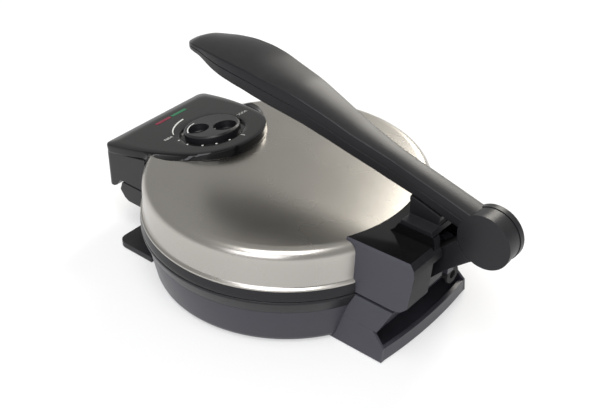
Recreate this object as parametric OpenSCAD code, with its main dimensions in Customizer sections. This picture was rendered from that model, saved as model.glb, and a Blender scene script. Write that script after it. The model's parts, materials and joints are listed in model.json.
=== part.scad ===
// Electric roti maker, about 8 inch plates, closed as it stands on a worktop.
// Units are millimetres and +Z is up. The panel looks along -Y and the hinge is at +Y.
// Every module below places its piece round the plate axis, then shifts it by plate_y.

/* [Body] */
// Diameter at the parting line between lid and base
body_d = 236; // [232:1:240]
// Height of the parting line above the worktop
part_z = 46.6; // [46:0.2:48]
// Gap between the lid ring and the base rim
seam = 0.6; // [0.4:0.1:1]
// Height of the lower wall, where the base rim begins
rim_z = 34; // [33.6:0.2:34.4]
// How far the rubber feet lift the body
foot_lift = 1; // [0.8:0.1:1.4]
// Wall of the moulded covers
wall = 2.5; // [2.2:0.1:2.8]
// Thickness of the stainless lid cover
cover_t = 1; // [0.8:0.1:1.2]
// Height of the edge of the lid's top disc
disc_z = 88.3; // [87.5:0.1:89]

/* [Plates] */
// How far the cooking plates end inside the parting line
plate_margin = 14.1; // [14.1:0.1:15]
// Thickness of a plate under the dough
plate_t = 3; // [2.6:0.1:3.4]
// Radius of the bent heating element
element_r = 62; // [56:1:66]
// Radius of the element's tube
tube_r = 3.6; // [3:0.1:3.8]

/* [Panel] */
// Slope of the control panel
panel_tilt = 11; // [10.5:0.1:11.5]
// Distance of the panel's front edge from the plate axis
panel_front = 151.4; // [150:0.2:153]
// Height of the panel's front edge
panel_z = 76.8; // [76.4:0.1:77.2]
// Half width of the panel at the front
panel_half = 58; // [57:0.5:59]
// Radius of the panel's rounded inner end
panel_end_r = 47.5; // [46.5:0.5:48.5]
// Radius of the dial's recess
recess_r = 27.5; // [27:0.5:28]
// Radius of the dial
knob_r = 23.5; // [22.5:0.5:24]

/* [Hinge] */
// Distance of the lid's hinge pin behind the plate axis
pin_y = 138; // [137.6:0.1:138.4]
// Height of the lid's hinge pin
pin_z = 70; // [69.6:0.1:70.4]
// Radius of the two steel pins
pin_r = 3; // [2.8:0.1:3.2]
// Radial gap of every running fit
run_fit = 0.05; // [0.03:0.01:0.08]
// Half width of the hinge block at its top
block_half = 50; // [49.5:0.5:50.5]

/* [Press lever] */
// Distance of the lever's barrel behind the plate axis
barrel_y = 184.3; // [184:0.1:184.6]
// Height of the lever's barrel
barrel_z = 106.1; // [105.8:0.1:106.4]
// Radius of the barrel
barrel_r = 21.3; // [21:0.1:21.5]
// Half width of the barrel over its caps
barrel_half = 9.3; // [9.1:0.1:9.6]
// Gap between the press pad and the rails it rests on
pad_gap = 0.3; // [0.3:0.1:0.6]

/* [Hidden] */
$fn = 96;

// One shift puts the origin under the middle of the whole machine.
plate_y = -(barrel_y + barrel_r - panel_front) / 2;

body_r = body_d / 2;
wall_top_r = body_r - 4;
wall_low_r = body_r - 9;
plate_r = body_r - plate_margin;
plate_gap = 0.3;
ledge_r = plate_r - 7.9;
skirt_in_r = plate_r - 5.9;
ledge_t = 2.5;
plate_low_z = part_z - 8.6;
plate_top_z = part_z - 0.4;
up_low_z = part_z + seam + 0.2;
up_top_z = up_low_z + 8.2;
ring_top_z = part_z + seam + 8.8;
screw_r = 1.5;
screw_ring_r = (skirt_in_r + plate_r) / 2;
screw_turn = [45, 135, 225, 315];
post_ring_r = 40;
shield_r = ledge_r - 1.5;
shield_t = 1;
base_low_z = foot_lift + 1;
cover_z = base_low_z + 1.2;
cover_sheet = 1.2;
cover_ring_r = wall_low_r - 9;
cover_turns = [65, 155, 245, 335];
cover_head_r = 2.4;
post_r = 4;
post_h = 2.7;
lead_turn = 15;
pin_slack = 0.02;
big = 400;

// The outer line of the lid cover as radius and height, from its rim to the middle.
cover_line = [
  [body_r - 0.8, ring_top_z], [body_r - 0.8, ring_top_z + 1.2], [body_r - 2.7, ring_top_z + 2.6],
  [body_r - 3.0, disc_z - 22], [body_r - 3.4, disc_z - 14], [body_r - 4, disc_z - 6.3],
  [body_r - 4.8, disc_z - 3.9], [body_r - 6.4, disc_z - 2], [body_r - 9, disc_z - 0.6],
  [body_r - 13, disc_z], [70, disc_z + 1.2], [35, disc_z + 1.9], [0, disc_z + 2.2]
];
function moved_line(g) = [
  for (i = [0 : len(cover_line) - 1])
    [max(0, cover_line[i][0] == 0 ? 0 : cover_line[i][0] + g),
     i == 0 ? cover_line[i][1] : cover_line[i][1] + g]
];
function turned(list) = [for (i = [len(list) - 1 : -1 : 0]) list[i]];

// The panel's outline is three tangent arcs, so its side radius follows from its widths.
dial_y = 71.5;
top_end_y = 68.1;
low_end_y = 56;
low_end_r = panel_half;
low_flare = 0.5;
panel_t = 2.5;
skirt_h = 7;
deep_h = 17;
dish_h = 6.5;
recess_h = 4;

// The lever's ridge, underside and half width, taken from the photograph.
tip_y = -97;
hollow_y = -90;
lever_end_y = 176;
lever_steps = 44;
ridge = [
  [-97, 168], [-93.6, 171.6], [-86, 174.4], [-76.5, 176], [-63, 178], [-49, 178.6], [-33, 178], [-18, 176.4],
  [21, 168.6], [45, 160.6], [70, 151.6], [90, 145.6], [112, 139.8], [147, 131], [176, 123.4]
];
under = [
  [-97, 166.4], [-92, 165], [-84, 165.4], [-76.5, 165], [-58.5, 160], [-27, 155.6], [-8.5, 151], [27, 143.5],
  [62, 133.4], [101, 122.6], [128, 117.4], [153, 110], [166, 107], [176, 104]
];
girth = [
  [-97, 2], [-96.1, 5.5], [-93.6, 9], [-89.3, 12.2], [-84, 14.2], [-76.5, 16], [-63, 19.6], [-49, 22],
  [-33, 22.8], [-18, 22], [0, 20], [21, 17.6], [50, 14.1], [70, 12.3], [88, 10.4], [104, 9.3], [180, 9.3]
];
ease = 4;
function eased(y, list) = (lookup(y - ease, list) + 2 * lookup(y, list) + lookup(y + ease, list)) / 4;
function station(i) = tip_y + (lever_end_y - tip_y) * pow(i / lever_steps, 1.3);
function lever_mid(y) = (eased(y, ridge) + eased(y, under)) / 2;
lever_wall = 2.4;
screw_ys = [60, 108];
tongue_half = 4.2;
disc_in = tongue_half + 0.4;
disc_skin = 1.2;
bush_out = barrel_half - disc_skin;
pin_half = bush_out - 0.3;
core_half = 3.6;
sleeve_r = pin_r + 2;
barrel_gap = 0.5;
root_out = barrel_half - lever_wall;
root_line = [[148, 115], [148, 126.5], [172, 120], [172, 110]];
rail_in = 13;
rail_out = 20;
rail_z = 100;
hood_z = 90.2;
slot_half = 12.5;
notch_half = 23.5;
ear_in = 14;
ear_out = 22;
lug_in = 24.5;
lug_out = 31.5;
lug_half = 7;
block_top_z = part_z - 0.8;
block_low_z = 24;
hood_low_z = part_z + 1.6;
foot_half = 56.4;
foot_rear_y = 137;
draft = (foot_half - block_half) / part_z;
function block_x(z) = foot_half - draft * z;
bar_top_z = 12.6;
bar_bulge = 4;
bar_r = (foot_half * foot_half + bar_bulge * bar_bulge) / (2 * bar_bulge);
bar_mid_y = foot_rear_y + bar_bulge - bar_r;
tray_t = 2.5;
foot_pad_r = 6;
front_pad = [66, -103];
rear_pad = [46, 126];
front_foot_h = 5.4;
bar_t = 3.6;
gland_x = -28;
gland_z = 35;
bracket_screw = [5.4, 124.5];
bracket_base_t = 3.4;
arm_line = [
  [176, 108], [168, 102], [158, 93], [153, 88], [141, 77.5], [134, 76.5], [130, 72],
  [129, block_top_z + bracket_base_t], [118, block_top_z + bracket_base_t], [118, block_top_z],
  [143, block_top_z],
  [143, 54], [145, 56], [153, 65], [160, 72], [175, 85], [186, 92]
];
grip_screw = [30, 68];
hood_screw = [30, 74];
cover_hole_r = 2.2;
cover_screw_r = 2;
lens_x = [3, -15.5];
lens_y = 13;
lens_half = 8.5;
lens_w = 3.6;
knob_turn = 39.5;
thermostat_screw_x = 17;
foot_pad_h = 1.6;
shallow_cut_y = 28;
shallow_cut_h = 6;
deep_cut_y = 44;
deep_cut_h = 60;

module at_plate() {
  translate([0, plate_y, 0]) children();
}

module along_x(half, points) {
  rotate([90, 0, 90]) linear_extrude(height = 2 * half, center = true) polygon(points);
}

module along_y(y0, y1, points) {
  translate([0, y1, 0]) rotate([90, 0, 0]) linear_extrude(height = y1 - y0) polygon(points);
}

module on_panel() {
  translate([0, -panel_front, panel_z]) rotate([panel_tilt, 0, 0]) children();
}

module ring_of(points) {
  rotate_extrude() polygon(points);
}

module x_cyl(y, z, r, x0, x1) {
  translate([x0, y, z]) rotate([0, 90, 0]) cylinder(r = r, h = x1 - x0);
}

// A panel outline: straight front, two long side arcs and a rounded inner end.
module panel_outline(half, end_r, end_y, grow) {
  corner = 6;
  wide = half + grow;
  round_r = end_r + grow;
  span = end_y - corner;
  side_r = (span * span / (wide - round_r) + wide + round_r) / 2;
  lean = atan2(span, side_r - wide);
  top_y = end_y + round_r * sin(lean);
  translate([0, end_y]) circle(r = round_r);
  intersection() {
    translate([wide - side_r, corner]) circle(r = side_r, $fn = 480);
    translate([side_r - wide, corner]) circle(r = side_r, $fn = 480);
    union() {
      translate([-wide, corner - grow]) square([2 * wide, top_y - corner + grow]);
      translate([corner - wide, -grow]) square([2 * (wide - corner), corner + 1]);
      translate([wide - corner, corner - grow]) circle(r = corner);
      translate([corner - wide, corner - grow]) circle(r = corner);
    }
  }
}

module top_outline(grow) {
  panel_outline(panel_half, panel_end_r, top_end_y, grow);
}

module low_outline(grow) {
  panel_outline(panel_half + low_flare, low_end_r - low_flare, low_end_y, grow);
}

// The bevelled panel is a stack of slabs between its top and its foot outline.
module panel_stack(grow, z0, z1) {
  steps = 4;
  step_h = (z1 - z0) / steps;
  for (i = [0 : steps - 1]) {
    t = (i + 0.5) / steps;
    translate([0, 0, z1 - (i + 1) * step_h])
      linear_extrude(height = step_h + (i == 0 ? 0 : 0.01))
        panel_outline(panel_half + low_flare * t, panel_end_r + (low_end_r - low_flare - panel_end_r) * t,
          top_end_y + (low_end_y - top_end_y) * t, grow);
  }
}

module lid_envelope(gap) {
  rotate_extrude()
    polygon(concat([[0, part_z - 4], [body_r + gap, part_z - 4], [body_r + gap, part_z + seam + 2.8]],
      moved_line(gap)));
}

module base_envelope(gap) {
  rotate_extrude()
    polygon([[0, base_low_z - gap], [wall_low_r - 4 + gap, base_low_z - gap],
      [wall_low_r - 1.2 + gap, base_low_z + 1.2 - gap], [wall_low_r + gap, base_low_z + 4],
      [wall_top_r + gap, rim_z], [body_r + gap, part_z - 2], [body_r + gap, part_z + seam / 2],
      [0, part_z + seam / 2]]);
}

module ring_holes(r, z0, z1, ring, turns = screw_turn) {
  for (a = turns)
    rotate([0, 0, a]) translate([ring, 0, z0]) cylinder(r = r, h = z1 - z0);
}

module ring_screws(z_tip, z_seat, ring, down, turns = screw_turn, head_r = 2 * screw_r) {
  for (a = turns)
    rotate([0, 0, a]) translate([ring, 0, 0]) {
      translate([0, 0, min(z_tip, z_seat)]) cylinder(r = screw_r, h = abs(z_tip - z_seat));
      difference() {
        translate([0, 0, down ? z_seat - 2 : z_seat]) cylinder(r = head_r, h = 2);
        translate([-2.2, -0.4, down ? z_seat - 2.1 : z_seat + 1.2]) cube([4.4, 0.8, 0.9]);
        translate([-0.4, -2.2, down ? z_seat - 2.1 : z_seat + 1.2]) cube([0.8, 4.4, 0.9]);
      }
    }
}

module element(z, lead) {
  rotate([0, 0, 90 + lead_turn]) rotate_extrude(angle = 360 - 2 * lead_turn)
    translate([element_r, 0]) circle(r = tube_r);
  for (side = [-1, 1])
    translate([side * element_r * sin(lead_turn), element_r * cos(lead_turn), lead > 0 ? 0 : lead])
      cylinder(r = 2.2, h = abs(lead));
}

module lead_holes(z0, z1) {
  for (side = [-1, 1])
    translate([side * element_r * sin(lead_turn), element_r * cos(lead_turn), z0])
      cylinder(r = 3.4, h = z1 - z0);
}

// Base body

module base_shell() color([0.13, 0.13, 0.15]) at_plate() difference() {
  union() {
    ring_of([[wall_low_r - 4, base_low_z], [wall_low_r - 1.2, base_low_z + 1.2], [wall_low_r, base_low_z + 4],
      [wall_top_r, rim_z], [skirt_in_r, rim_z], [skirt_in_r, rim_z - ledge_t],
      [wall_top_r - wall - 0.4, rim_z - ledge_t], [wall_low_r - wall - 0.2, base_low_z + 4.6],
      [wall_low_r - wall - 2, base_low_z + 2.4], [wall_low_r - wall - 4, base_low_z + 2.4],
      [wall_low_r - wall - 4, base_low_z]]);
    ring_holes(post_r, cover_z + cover_sheet, rim_z - 1, cover_ring_r, cover_turns);
  }
  ring_holes(screw_r, cover_z, rim_z - 8, cover_ring_r, cover_turns);
  ring_holes(screw_r + 0.2, rim_z - ledge_t - 1, rim_z + 1, screw_ring_r);
}

module base_rim() color([0.10, 0.10, 0.11]) at_plate() difference() {
  ring_of([[wall_top_r - wall, rim_z], [wall_top_r, rim_z], [body_r, part_z - 2], [body_r, part_z],
    [plate_r + plate_gap, part_z], [plate_r + plate_gap, plate_low_z], [ledge_r, plate_low_z],
    [ledge_r, plate_low_z - ledge_t], [plate_r + plate_gap + wall, plate_low_z - ledge_t],
    [plate_r + plate_gap + wall, part_z - wall], [body_r - 2.7, part_z - wall]]);
  ring_holes(screw_r + 0.2, plate_low_z - ledge_t - 1, plate_low_z + 1, screw_ring_r);
}

module bottom_cover() color([0.62, 0.62, 0.62]) at_plate() difference() {
  union() {
    translate([0, 0, cover_z]) cylinder(r = wall_low_r - wall - 4.3, h = cover_sheet);
    translate([0, 0, cover_z + cover_sheet]) cylinder(r = 14, h = cover_sheet);
  }
  ring_holes(screw_r + 0.2, cover_z - 1, cover_z + 4, cover_ring_r, cover_turns);
  for (a = [0 : 30 : 330])
    rotate([0, 0, a]) translate([60, -2, cover_z - 1]) cube([18, 4, 4]);
}

module bottom_cover_screws() color([0.7, 0.7, 0.7]) at_plate()
  ring_screws(cover_z + 11, cover_z, cover_ring_r, true, cover_turns, cover_head_r);

module front_foot() color([0.12, 0.12, 0.13]) at_plate() difference() {
  translate([0, 0, foot_lift]) linear_extrude(height = front_foot_h) difference() {
    union() {
      translate([-72, -119]) square([144, 40]);
      translate([-80, -111]) square([160, 32]);
      translate([-72, -111]) circle(r = 8);
      translate([72, -111]) circle(r = 8);
    }
    circle(r = wall_low_r - 10);
  }
  base_envelope(0.05);
  ring_holes(cover_head_r + 0.3, 0, cover_z + 1, cover_ring_r, cover_turns);
  for (side = [-1, 1])
    translate([side * front_pad[0], front_pad[1], 0]) cylinder(r = foot_pad_r, h = foot_lift + foot_pad_h);
}

module front_ledge() color([0.12, 0.12, 0.13]) at_plate() difference() {
  intersection() {
    along_x(panel_half - 1, [[-137.5, 37.2], [-134.5, block_top_z - 1], [-132.5, block_top_z],
      [-100, block_top_z], [-100, 28.2], [-127.9, 28.2], [-132.5, 30.6]]);
    translate([0, 0, 20]) linear_extrude(height = 40) translate([0, -panel_front]) low_outline(-1);
  }
  intersection() {
    along_x(panel_half - 1 - wall, [[-133.6, 36.4], [-131.6, block_top_z - wall], [-90, block_top_z - wall],
      [-90, 20], [-127, 20], [-130, 31.4]]);
    difference() {
      translate([-big / 2, -big / 2, 0]) cube([big, big, big]);
      cylinder(r = body_r + 3, h = big);
    }
  }
  base_envelope(0.05);
}

module rear_foot() color([0.13, 0.13, 0.15]) at_plate() difference() {
  union() {
    intersection() {
      union() {
        difference() {
          along_x(foot_half + 1, [[60, foot_lift], [foot_rear_y + 0.6, foot_lift],
            [foot_rear_y + 0.6, bar_top_z], [126.4, block_low_z], [60, block_low_z]]);
          along_y(50, 160, [[-block_x(0) + wall, foot_lift + tray_t], [block_x(0) - wall, foot_lift + tray_t],
            [block_x(30) - wall, 30], [-block_x(30) + wall, 30]]);
        }
        intersection() {
          difference() {
            translate([0, bar_mid_y, foot_lift]) cylinder(r = bar_r, h = bar_top_z - foot_lift, $fn = 720);
            translate([0, bar_mid_y, foot_lift - 1])
              cylinder(r = bar_r - bar_t, h = bar_top_z + 2, $fn = 720);
          }
          translate([-foot_half - 2, 100, 0]) cube([2 * foot_half + 4, 60, bar_top_z]);
        }
        intersection() {
          translate([0, bar_mid_y, foot_lift]) cylinder(r = bar_r - 1, h = tray_t, $fn = 720);
          translate([-foot_half - 2, 120, 0]) cube([2 * foot_half + 4, 60, bar_top_z]);
        }
      }
      along_y(60, 160, [[-block_x(0), 0], [block_x(0), 0], [block_x(30), 30], [-block_x(30), 30]]);
    }
  }
  base_envelope(0.05);
  ring_holes(cover_head_r + 0.3, 0, cover_z + 1, cover_ring_r, cover_turns);
  for (side = [-1, 1])
    translate([side * rear_pad[0], rear_pad[1], 0]) cylinder(r = foot_pad_r, h = foot_lift + foot_pad_h);
}

module rubber_feet() color([0.05, 0.05, 0.05]) at_plate() {
  for (side = [-1, 1]) {
    translate([side * front_pad[0], front_pad[1], 0]) cylinder(r = foot_pad_r, h = foot_lift + foot_pad_h);
    translate([side * rear_pad[0], rear_pad[1], 0]) cylinder(r = foot_pad_r, h = foot_lift + foot_pad_h);
  }
}

// The hinge block closes the rear of the base and carries the two hinge ears.
module rear_block() color([0.13, 0.13, 0.15]) at_plate() difference() {
  union() {
    difference() {
      intersection() {
        along_x(60, [[60, block_low_z], [130, block_low_z], [140.8, block_top_z], [60, block_top_z]]);
        along_y(60, 160, [[-block_x(block_low_z), block_low_z], [block_x(block_low_z), block_low_z],
          [block_x(block_top_z), block_top_z], [-block_x(block_top_z), block_top_z]]);
      }
      intersection() {
        along_x(block_half - wall, [[60, block_low_z + wall], [128.2, block_low_z + wall],
          [136.6, block_top_z - wall], [60, block_top_z - wall]]);
        difference() {
          translate([-big / 2, 0, 0]) cube([big, big, big]);
          cylinder(r = body_r + 2, h = big);
        }
      }
    }
    for (side = [-1, 1])
      translate([side * (ear_in + ear_out) / 2, 0, 0]) difference() {
        union() {
          translate([-(ear_out - ear_in) / 2, pin_y - lug_half, block_top_z - 1])
            cube([ear_out - ear_in, 2 * lug_half, pin_z - block_top_z + 1]);
          x_cyl(pin_y, pin_z, lug_half, -(ear_out - ear_in) / 2, (ear_out - ear_in) / 2);
        }
        x_cyl(pin_y, pin_z, pin_r + pin_slack, -10, 10);
      }
    for (side = [-1, 1])
      translate([side * bracket_screw[0], bracket_screw[1], block_low_z + 1])
        cylinder(r = 3.6, h = block_top_z - block_low_z - 2);
  }
  for (side = [-1, 1])
    translate([side * bracket_screw[0], bracket_screw[1], block_top_z - 14]) cylinder(r = screw_r, h = 20);
  translate([gland_x, 120, gland_z]) rotate([-90, 0, 0]) cylinder(r = 5.6, h = 30);
  base_envelope(0.05);
}

module cord_gland() color([0.06, 0.06, 0.06]) at_plate() translate([gland_x, 0, gland_z]) rotate([-90, 0, 0])
  difference() {
    union() {
      translate([0, 0, 128.4]) cylinder(r = 5.5, h = 13);
      translate([0, 0, 139.2]) cylinder(r = 7.6, h = 2.2);
      translate([0, 0, 127.4]) cylinder(r = 7.2, h = 1.6);
    }
    translate([0, 0, 120]) cylinder(r = 3.4, h = 30);
  }

module lower_plate() color([0.16, 0.16, 0.17]) at_plate() difference() {
  union() {
    translate([0, 0, plate_top_z - plate_t]) cylinder(r = plate_r, h = plate_t);
    ring_of([[skirt_in_r, plate_low_z], [plate_r, plate_low_z], [plate_r, plate_top_z - plate_t],
      [skirt_in_r, plate_top_z - plate_t]]);
    ring_holes(post_r, plate_low_z - post_h, plate_top_z - plate_t + 0.5, post_ring_r);
  }
  ring_holes(screw_r, plate_low_z - 4, plate_top_z - plate_t, post_ring_r);
  ring_holes(screw_r, plate_low_z - 1, plate_low_z + 4, screw_ring_r);
}

module lower_element() color([0.35, 0.34, 0.33]) at_plate()
  translate([0, 0, plate_top_z - plate_t - tube_r]) element(0, -14);

module lower_heat_shield() color([0.72, 0.72, 0.74]) at_plate() difference() {
  union() {
    translate([0, 0, plate_low_z - post_h - shield_t]) cylinder(r = shield_r, h = shield_t);
    translate([0, 0, plate_low_z - post_h - shield_t]) difference() {
      cylinder(r = shield_r, h = 6.4);
      translate([0, 0, -1]) cylinder(r = shield_r - shield_t, h = 10);
    }
  }
  ring_holes(screw_r + 0.2, plate_low_z - 6, plate_low_z, post_ring_r);
  lead_holes(plate_low_z - 6, plate_low_z);
}

module lower_plate_screws() color([0.7, 0.7, 0.7]) at_plate()
  ring_screws(plate_low_z + 3.6, rim_z - ledge_t, screw_ring_r, true);

module lower_shield_screws() color([0.7, 0.7, 0.7]) at_plate()
  ring_screws(plate_low_z + 2.6, plate_low_z - post_h - shield_t, post_ring_r, true);

module terminal_block() color([0.82, 0.82, 0.78]) at_plate() difference() {
  translate([-18, 72, cover_z + cover_sheet]) cube([36, 14, 12]);
  for (x = [-12, 0, 12]) {
    translate([x, 79, cover_z + 8]) cylinder(r = 2.4, h = 10);
    translate([x, 60, cover_z + 6.4]) rotate([-90, 0, 0]) cylinder(r = 1.8, h = 40);
  }
}

module thermal_fuse() color([0.75, 0.72, 0.66]) at_plate() {
  x_cyl(30, plate_low_z - post_h - shield_t - 3.2, 3.2, -9, 9);
  x_cyl(30, plate_low_z - post_h - shield_t - 3.2, 0.8, -22, 22);
}

module hinge_pin() color([0.78, 0.78, 0.8]) at_plate() union() {
  x_cyl(pin_y, pin_z, pin_r, -36, 36);
}

module hinge_clips() color([0.6, 0.6, 0.62]) at_plate()
  for (side = [-1, 1])
    difference() {
      x_cyl(pin_y, pin_z, pin_r + 2.6, side > 0 ? 33 : -34.2, side > 0 ? 34.2 : -33);
      x_cyl(pin_y, pin_z, pin_r, -60, 60);
    }

// The bracket rises from the hinge block through the hood's slot to the lever's barrel.
module lever_bracket() color([0.14, 0.14, 0.15]) at_plate() difference() {
  union() {
    difference() {
      along_x(barrel_half, arm_line);
      x_cyl(barrel_y, barrel_z, barrel_r + barrel_gap, -40, 40);
    }
    intersection() {
      along_x(tongue_half, arm_line);
      x_cyl(barrel_y, barrel_z, barrel_r + 4, -40, 40);
    }
    x_cyl(barrel_y, barrel_z, barrel_r - barrel_gap, -tongue_half, tongue_half);
  }
  x_cyl(barrel_y, barrel_z, pin_r + pin_slack, -40, 40);
  x_cyl(pin_y, pin_z, pin_r + pin_slack, -40, 40);
  for (side = [-1, 1])
    translate([side * bracket_screw[0], bracket_screw[1], block_top_z - 1])
      cylinder(r = screw_r + 0.2, h = 10);
}

module bracket_screws() color([0.7, 0.7, 0.7]) at_plate()
  for (side = [-1, 1])
    translate([side * bracket_screw[0], bracket_screw[1], 0]) {
      translate([0, 0, block_top_z - 10]) cylinder(r = screw_r, h = 10 + bracket_base_t);
      translate([0, 0, block_top_z + bracket_base_t]) cylinder(r = 2 * screw_r - 0.2, h = 2);
    }

module barrel_pin() color([0.78, 0.78, 0.8]) at_plate() union() {
  x_cyl(barrel_y, barrel_z, pin_r, -pin_half, pin_half);
}

// Lid body

module lid_ring() color([0.10, 0.10, 0.11]) at_plate() difference() {
  ring_of([[plate_r + plate_gap, part_z + seam], [body_r, part_z + seam], [body_r, part_z + seam + 2.8],
    [body_r - 0.8, ring_top_z], [body_r - 3.6, ring_top_z], [body_r - 2.7, part_z + seam + wall],
    [plate_r + plate_gap + wall, part_z + seam + wall], [plate_r + plate_gap + wall, up_top_z + ledge_t],
    [ledge_r, up_top_z + ledge_t], [ledge_r, up_top_z], [plate_r + plate_gap, up_top_z]]);
  ring_holes(screw_r + 0.2, up_top_z - 1, up_top_z + 5, screw_ring_r);
}

module lid_cover() color([0.66, 0.64, 0.61]) at_plate() difference() {
  rotate_extrude() polygon(concat(moved_line(0), turned(moved_line(-cover_t))));
  for (cut = [[shallow_cut_y, shallow_cut_h], [deep_cut_y, deep_cut_h]])
    on_panel() translate([0, 0, -cut[1]]) linear_extrude(height = cut[1] + 30) intersection() {
      low_outline(-2.6);
      translate([-60, cut[0]]) square([120, 120]);
    }
  for (side = [-1, 1]) {
    translate([side * grip_screw[0], -130, grip_screw[1]]) rotate([-90, 0, 0])
      cylinder(r = cover_hole_r, h = 40);
    translate([side * hood_screw[0], 90, hood_screw[1]]) rotate([-90, 0, 0])
      cylinder(r = cover_hole_r, h = 40);
  }
}

module upper_plate() color([0.16, 0.16, 0.17]) at_plate() difference() {
  union() {
    translate([0, 0, up_low_z]) cylinder(r = plate_r, h = plate_t);
    ring_of([[skirt_in_r, up_low_z + plate_t], [plate_r, up_low_z + plate_t], [plate_r, up_top_z],
      [skirt_in_r, up_top_z]]);
    ring_holes(post_r, up_low_z + plate_t - 0.5, up_top_z + post_h, post_ring_r);
  }
  ring_holes(screw_r, up_low_z + plate_t, up_top_z + 4, post_ring_r);
  ring_holes(screw_r, up_top_z - 4, up_top_z + 1, screw_ring_r);
}

module upper_element() color([0.35, 0.34, 0.33]) at_plate()
  translate([0, 0, up_low_z + plate_t + tube_r]) element(0, 12);

module upper_heat_shield() color([0.72, 0.72, 0.74]) at_plate() difference() {
  union() {
    translate([0, 0, up_top_z + post_h]) cylinder(r = shield_r, h = shield_t);
    translate([0, 0, up_top_z + post_h + shield_t - 6.4]) difference() {
      cylinder(r = shield_r, h = 6.4);
      translate([0, 0, -2]) cylinder(r = shield_r - shield_t, h = 10);
    }
  }
  ring_holes(screw_r + 0.2, up_top_z, up_top_z + 6, post_ring_r);
  lead_holes(up_top_z, up_top_z + 6);
}

module upper_plate_screws() color([0.7, 0.7, 0.7]) at_plate()
  ring_screws(up_top_z - 3.6, up_top_z + ledge_t, screw_ring_r, false);

module upper_shield_screws() color([0.7, 0.7, 0.7]) at_plate()
  ring_screws(up_top_z - 2.6, up_top_z + post_h + shield_t, post_ring_r, false);

module front_handle() color([0.14, 0.14, 0.15]) at_plate() difference() {
  intersection() {
    along_x(80, [[-panel_front, 38.4], [-143.4, 38.8], [-139.6, 41], [-135, part_z + seam + 0.4],
      [-95, part_z + seam + 0.4], [-95, 100], [-panel_front, 100]]);
    translate([0, 0, 20]) linear_extrude(height = 100) translate([0, -panel_front]) low_outline(-0.5);
    on_panel() translate([-100, -40, -100]) cube([200, 200, 100 - skirt_h]);
  }
  difference() {
    intersection() {
      along_x(80, [[3.2 - panel_front, 42.4], [-143, 42.4], [-139, 44.6], [-134, 51], [-90, 51],
        [-90, 110], [3.2 - panel_front, 110]]);
      translate([0, 0, 20]) linear_extrude(height = 100) translate([0, -panel_front]) low_outline(-3.6);
    }
    cylinder(r = body_r + 3.4, h = big);
    for (side = [-1, 1])
      translate([side * 46, -124, 0]) cylinder(r = 5, h = big);
  }
  lid_envelope(0.05);
  cylinder(r = body_r + 0.05, h = ring_top_z);
  intersection() {
    cylinder(r = body_r + 0.05, h = big);
    on_panel() translate([-100, -10, -deep_h - 0.05]) cube([200, 200, 60]);
  }
  for (side = [-1, 1])
    translate([side * grip_screw[0], -130, grip_screw[1]]) rotate([-90, 0, 0])
      cylinder(r = cover_screw_r, h = 40);
}

module handle_screws() color([0.7, 0.7, 0.7]) at_plate()
  for (side = [-1, 1])
    translate([side * grip_screw[0], 0, grip_screw[1]]) rotate([-90, 0, 0]) {
      translate([0, 0, -117]) cylinder(r = cover_screw_r, h = 10);
      translate([0, 0, -107]) cylinder(r = 4, h = 2.2);
    }

// The glossy panel: bevelled skirt, flat top, dial recess and two lens slots.
module control_panel() color([0.03, 0.03, 0.035]) at_plate() difference() {
  union() {
    difference() {
      on_panel() difference() {
        panel_stack(0, -deep_h, 0);
        panel_stack(-wall, -deep_h - 1, -panel_t);
        translate([0, 0, -deep_h - 2]) linear_extrude(height = deep_h + 2 - panel_t) top_outline(-wall);
      }
      lid_envelope(0.05);
      difference() {
        on_panel() translate([-100, -10, -60]) cube([200, 100, 60 - skirt_h]);
        cylinder(r = body_r, h = big);
      }
    }
    on_panel() translate([0, 0, -panel_t]) linear_extrude(height = panel_t) top_outline(-0.6);
    on_panel() translate([0, dial_y, -dish_h]) cylinder(r = recess_r + 2, h = dish_h - 0.5);
  }
  on_panel() {
    translate([0, dial_y, -recess_h]) cylinder(r = recess_r, h = 20);
    translate([0, dial_y, -20]) cylinder(r = 4.4, h = 30);
    for (x = lens_x)
      translate([x - lens_half, lens_y, -10]) cube([2 * lens_half, lens_w, 20]);
    for (side = [-1, 1])
      translate([side * thermostat_screw_x, dial_y, -20]) cylinder(r = screw_r, h = 15);
  }
}

module lens(x) {
  on_panel() difference() {
    union() {
      translate([x - lens_half, lens_y, -panel_t]) cube([2 * lens_half, lens_w, panel_t + 0.2]);
      translate([x - lens_half - 0.5, lens_y - 0.8, -panel_t - 1.2])
        cube([2 * lens_half + 1, lens_w + 1.6, 1.2]);
    }
    translate([x - lens_half + 1, lens_y + 0.8, -10]) cube([2 * lens_half - 2, lens_w - 1.6, 8.8]);
  }
}

module power_lens() color([0.8, 0.05, 0.12]) at_plate() lens(lens_x[0]);

module ready_lens() color([0.05, 0.6, 0.3]) at_plate() lens(lens_x[1]);

module lamps() color([0.85, 0.75, 0.65]) at_plate() on_panel()
  for (x = lens_x)
    translate([x - 6, lens_y + lens_w / 2, -8.2]) rotate([0, 90, 0]) cylinder(r = 2, h = 12);

module lamp_board() color([0.1, 0.35, 0.18]) at_plate() on_panel() difference() {
  union() {
    translate([-28, 7, -11.8]) cube([44, 16, 1.6]);
    for (x = [-26, 14])
      translate([x, 15, -10.4]) cylinder(r = 1.6, h = 10.4 - panel_t);
  }
  translate([-6.2, 15, -20]) cylinder(r = 1, h = 20);
}

module thermostat() color([0.85, 0.82, 0.74]) at_plate() on_panel() difference() {
  union() {
    translate([-13, dial_y - 11, -25]) cube([26, 22, 10.8]);
    translate([0, dial_y, -14.3]) cylinder(r = 5.4, h = 3.2);
  }
  translate([0, dial_y, -22]) cylinder(r = pin_r + run_fit, h = 30);
}

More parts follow.
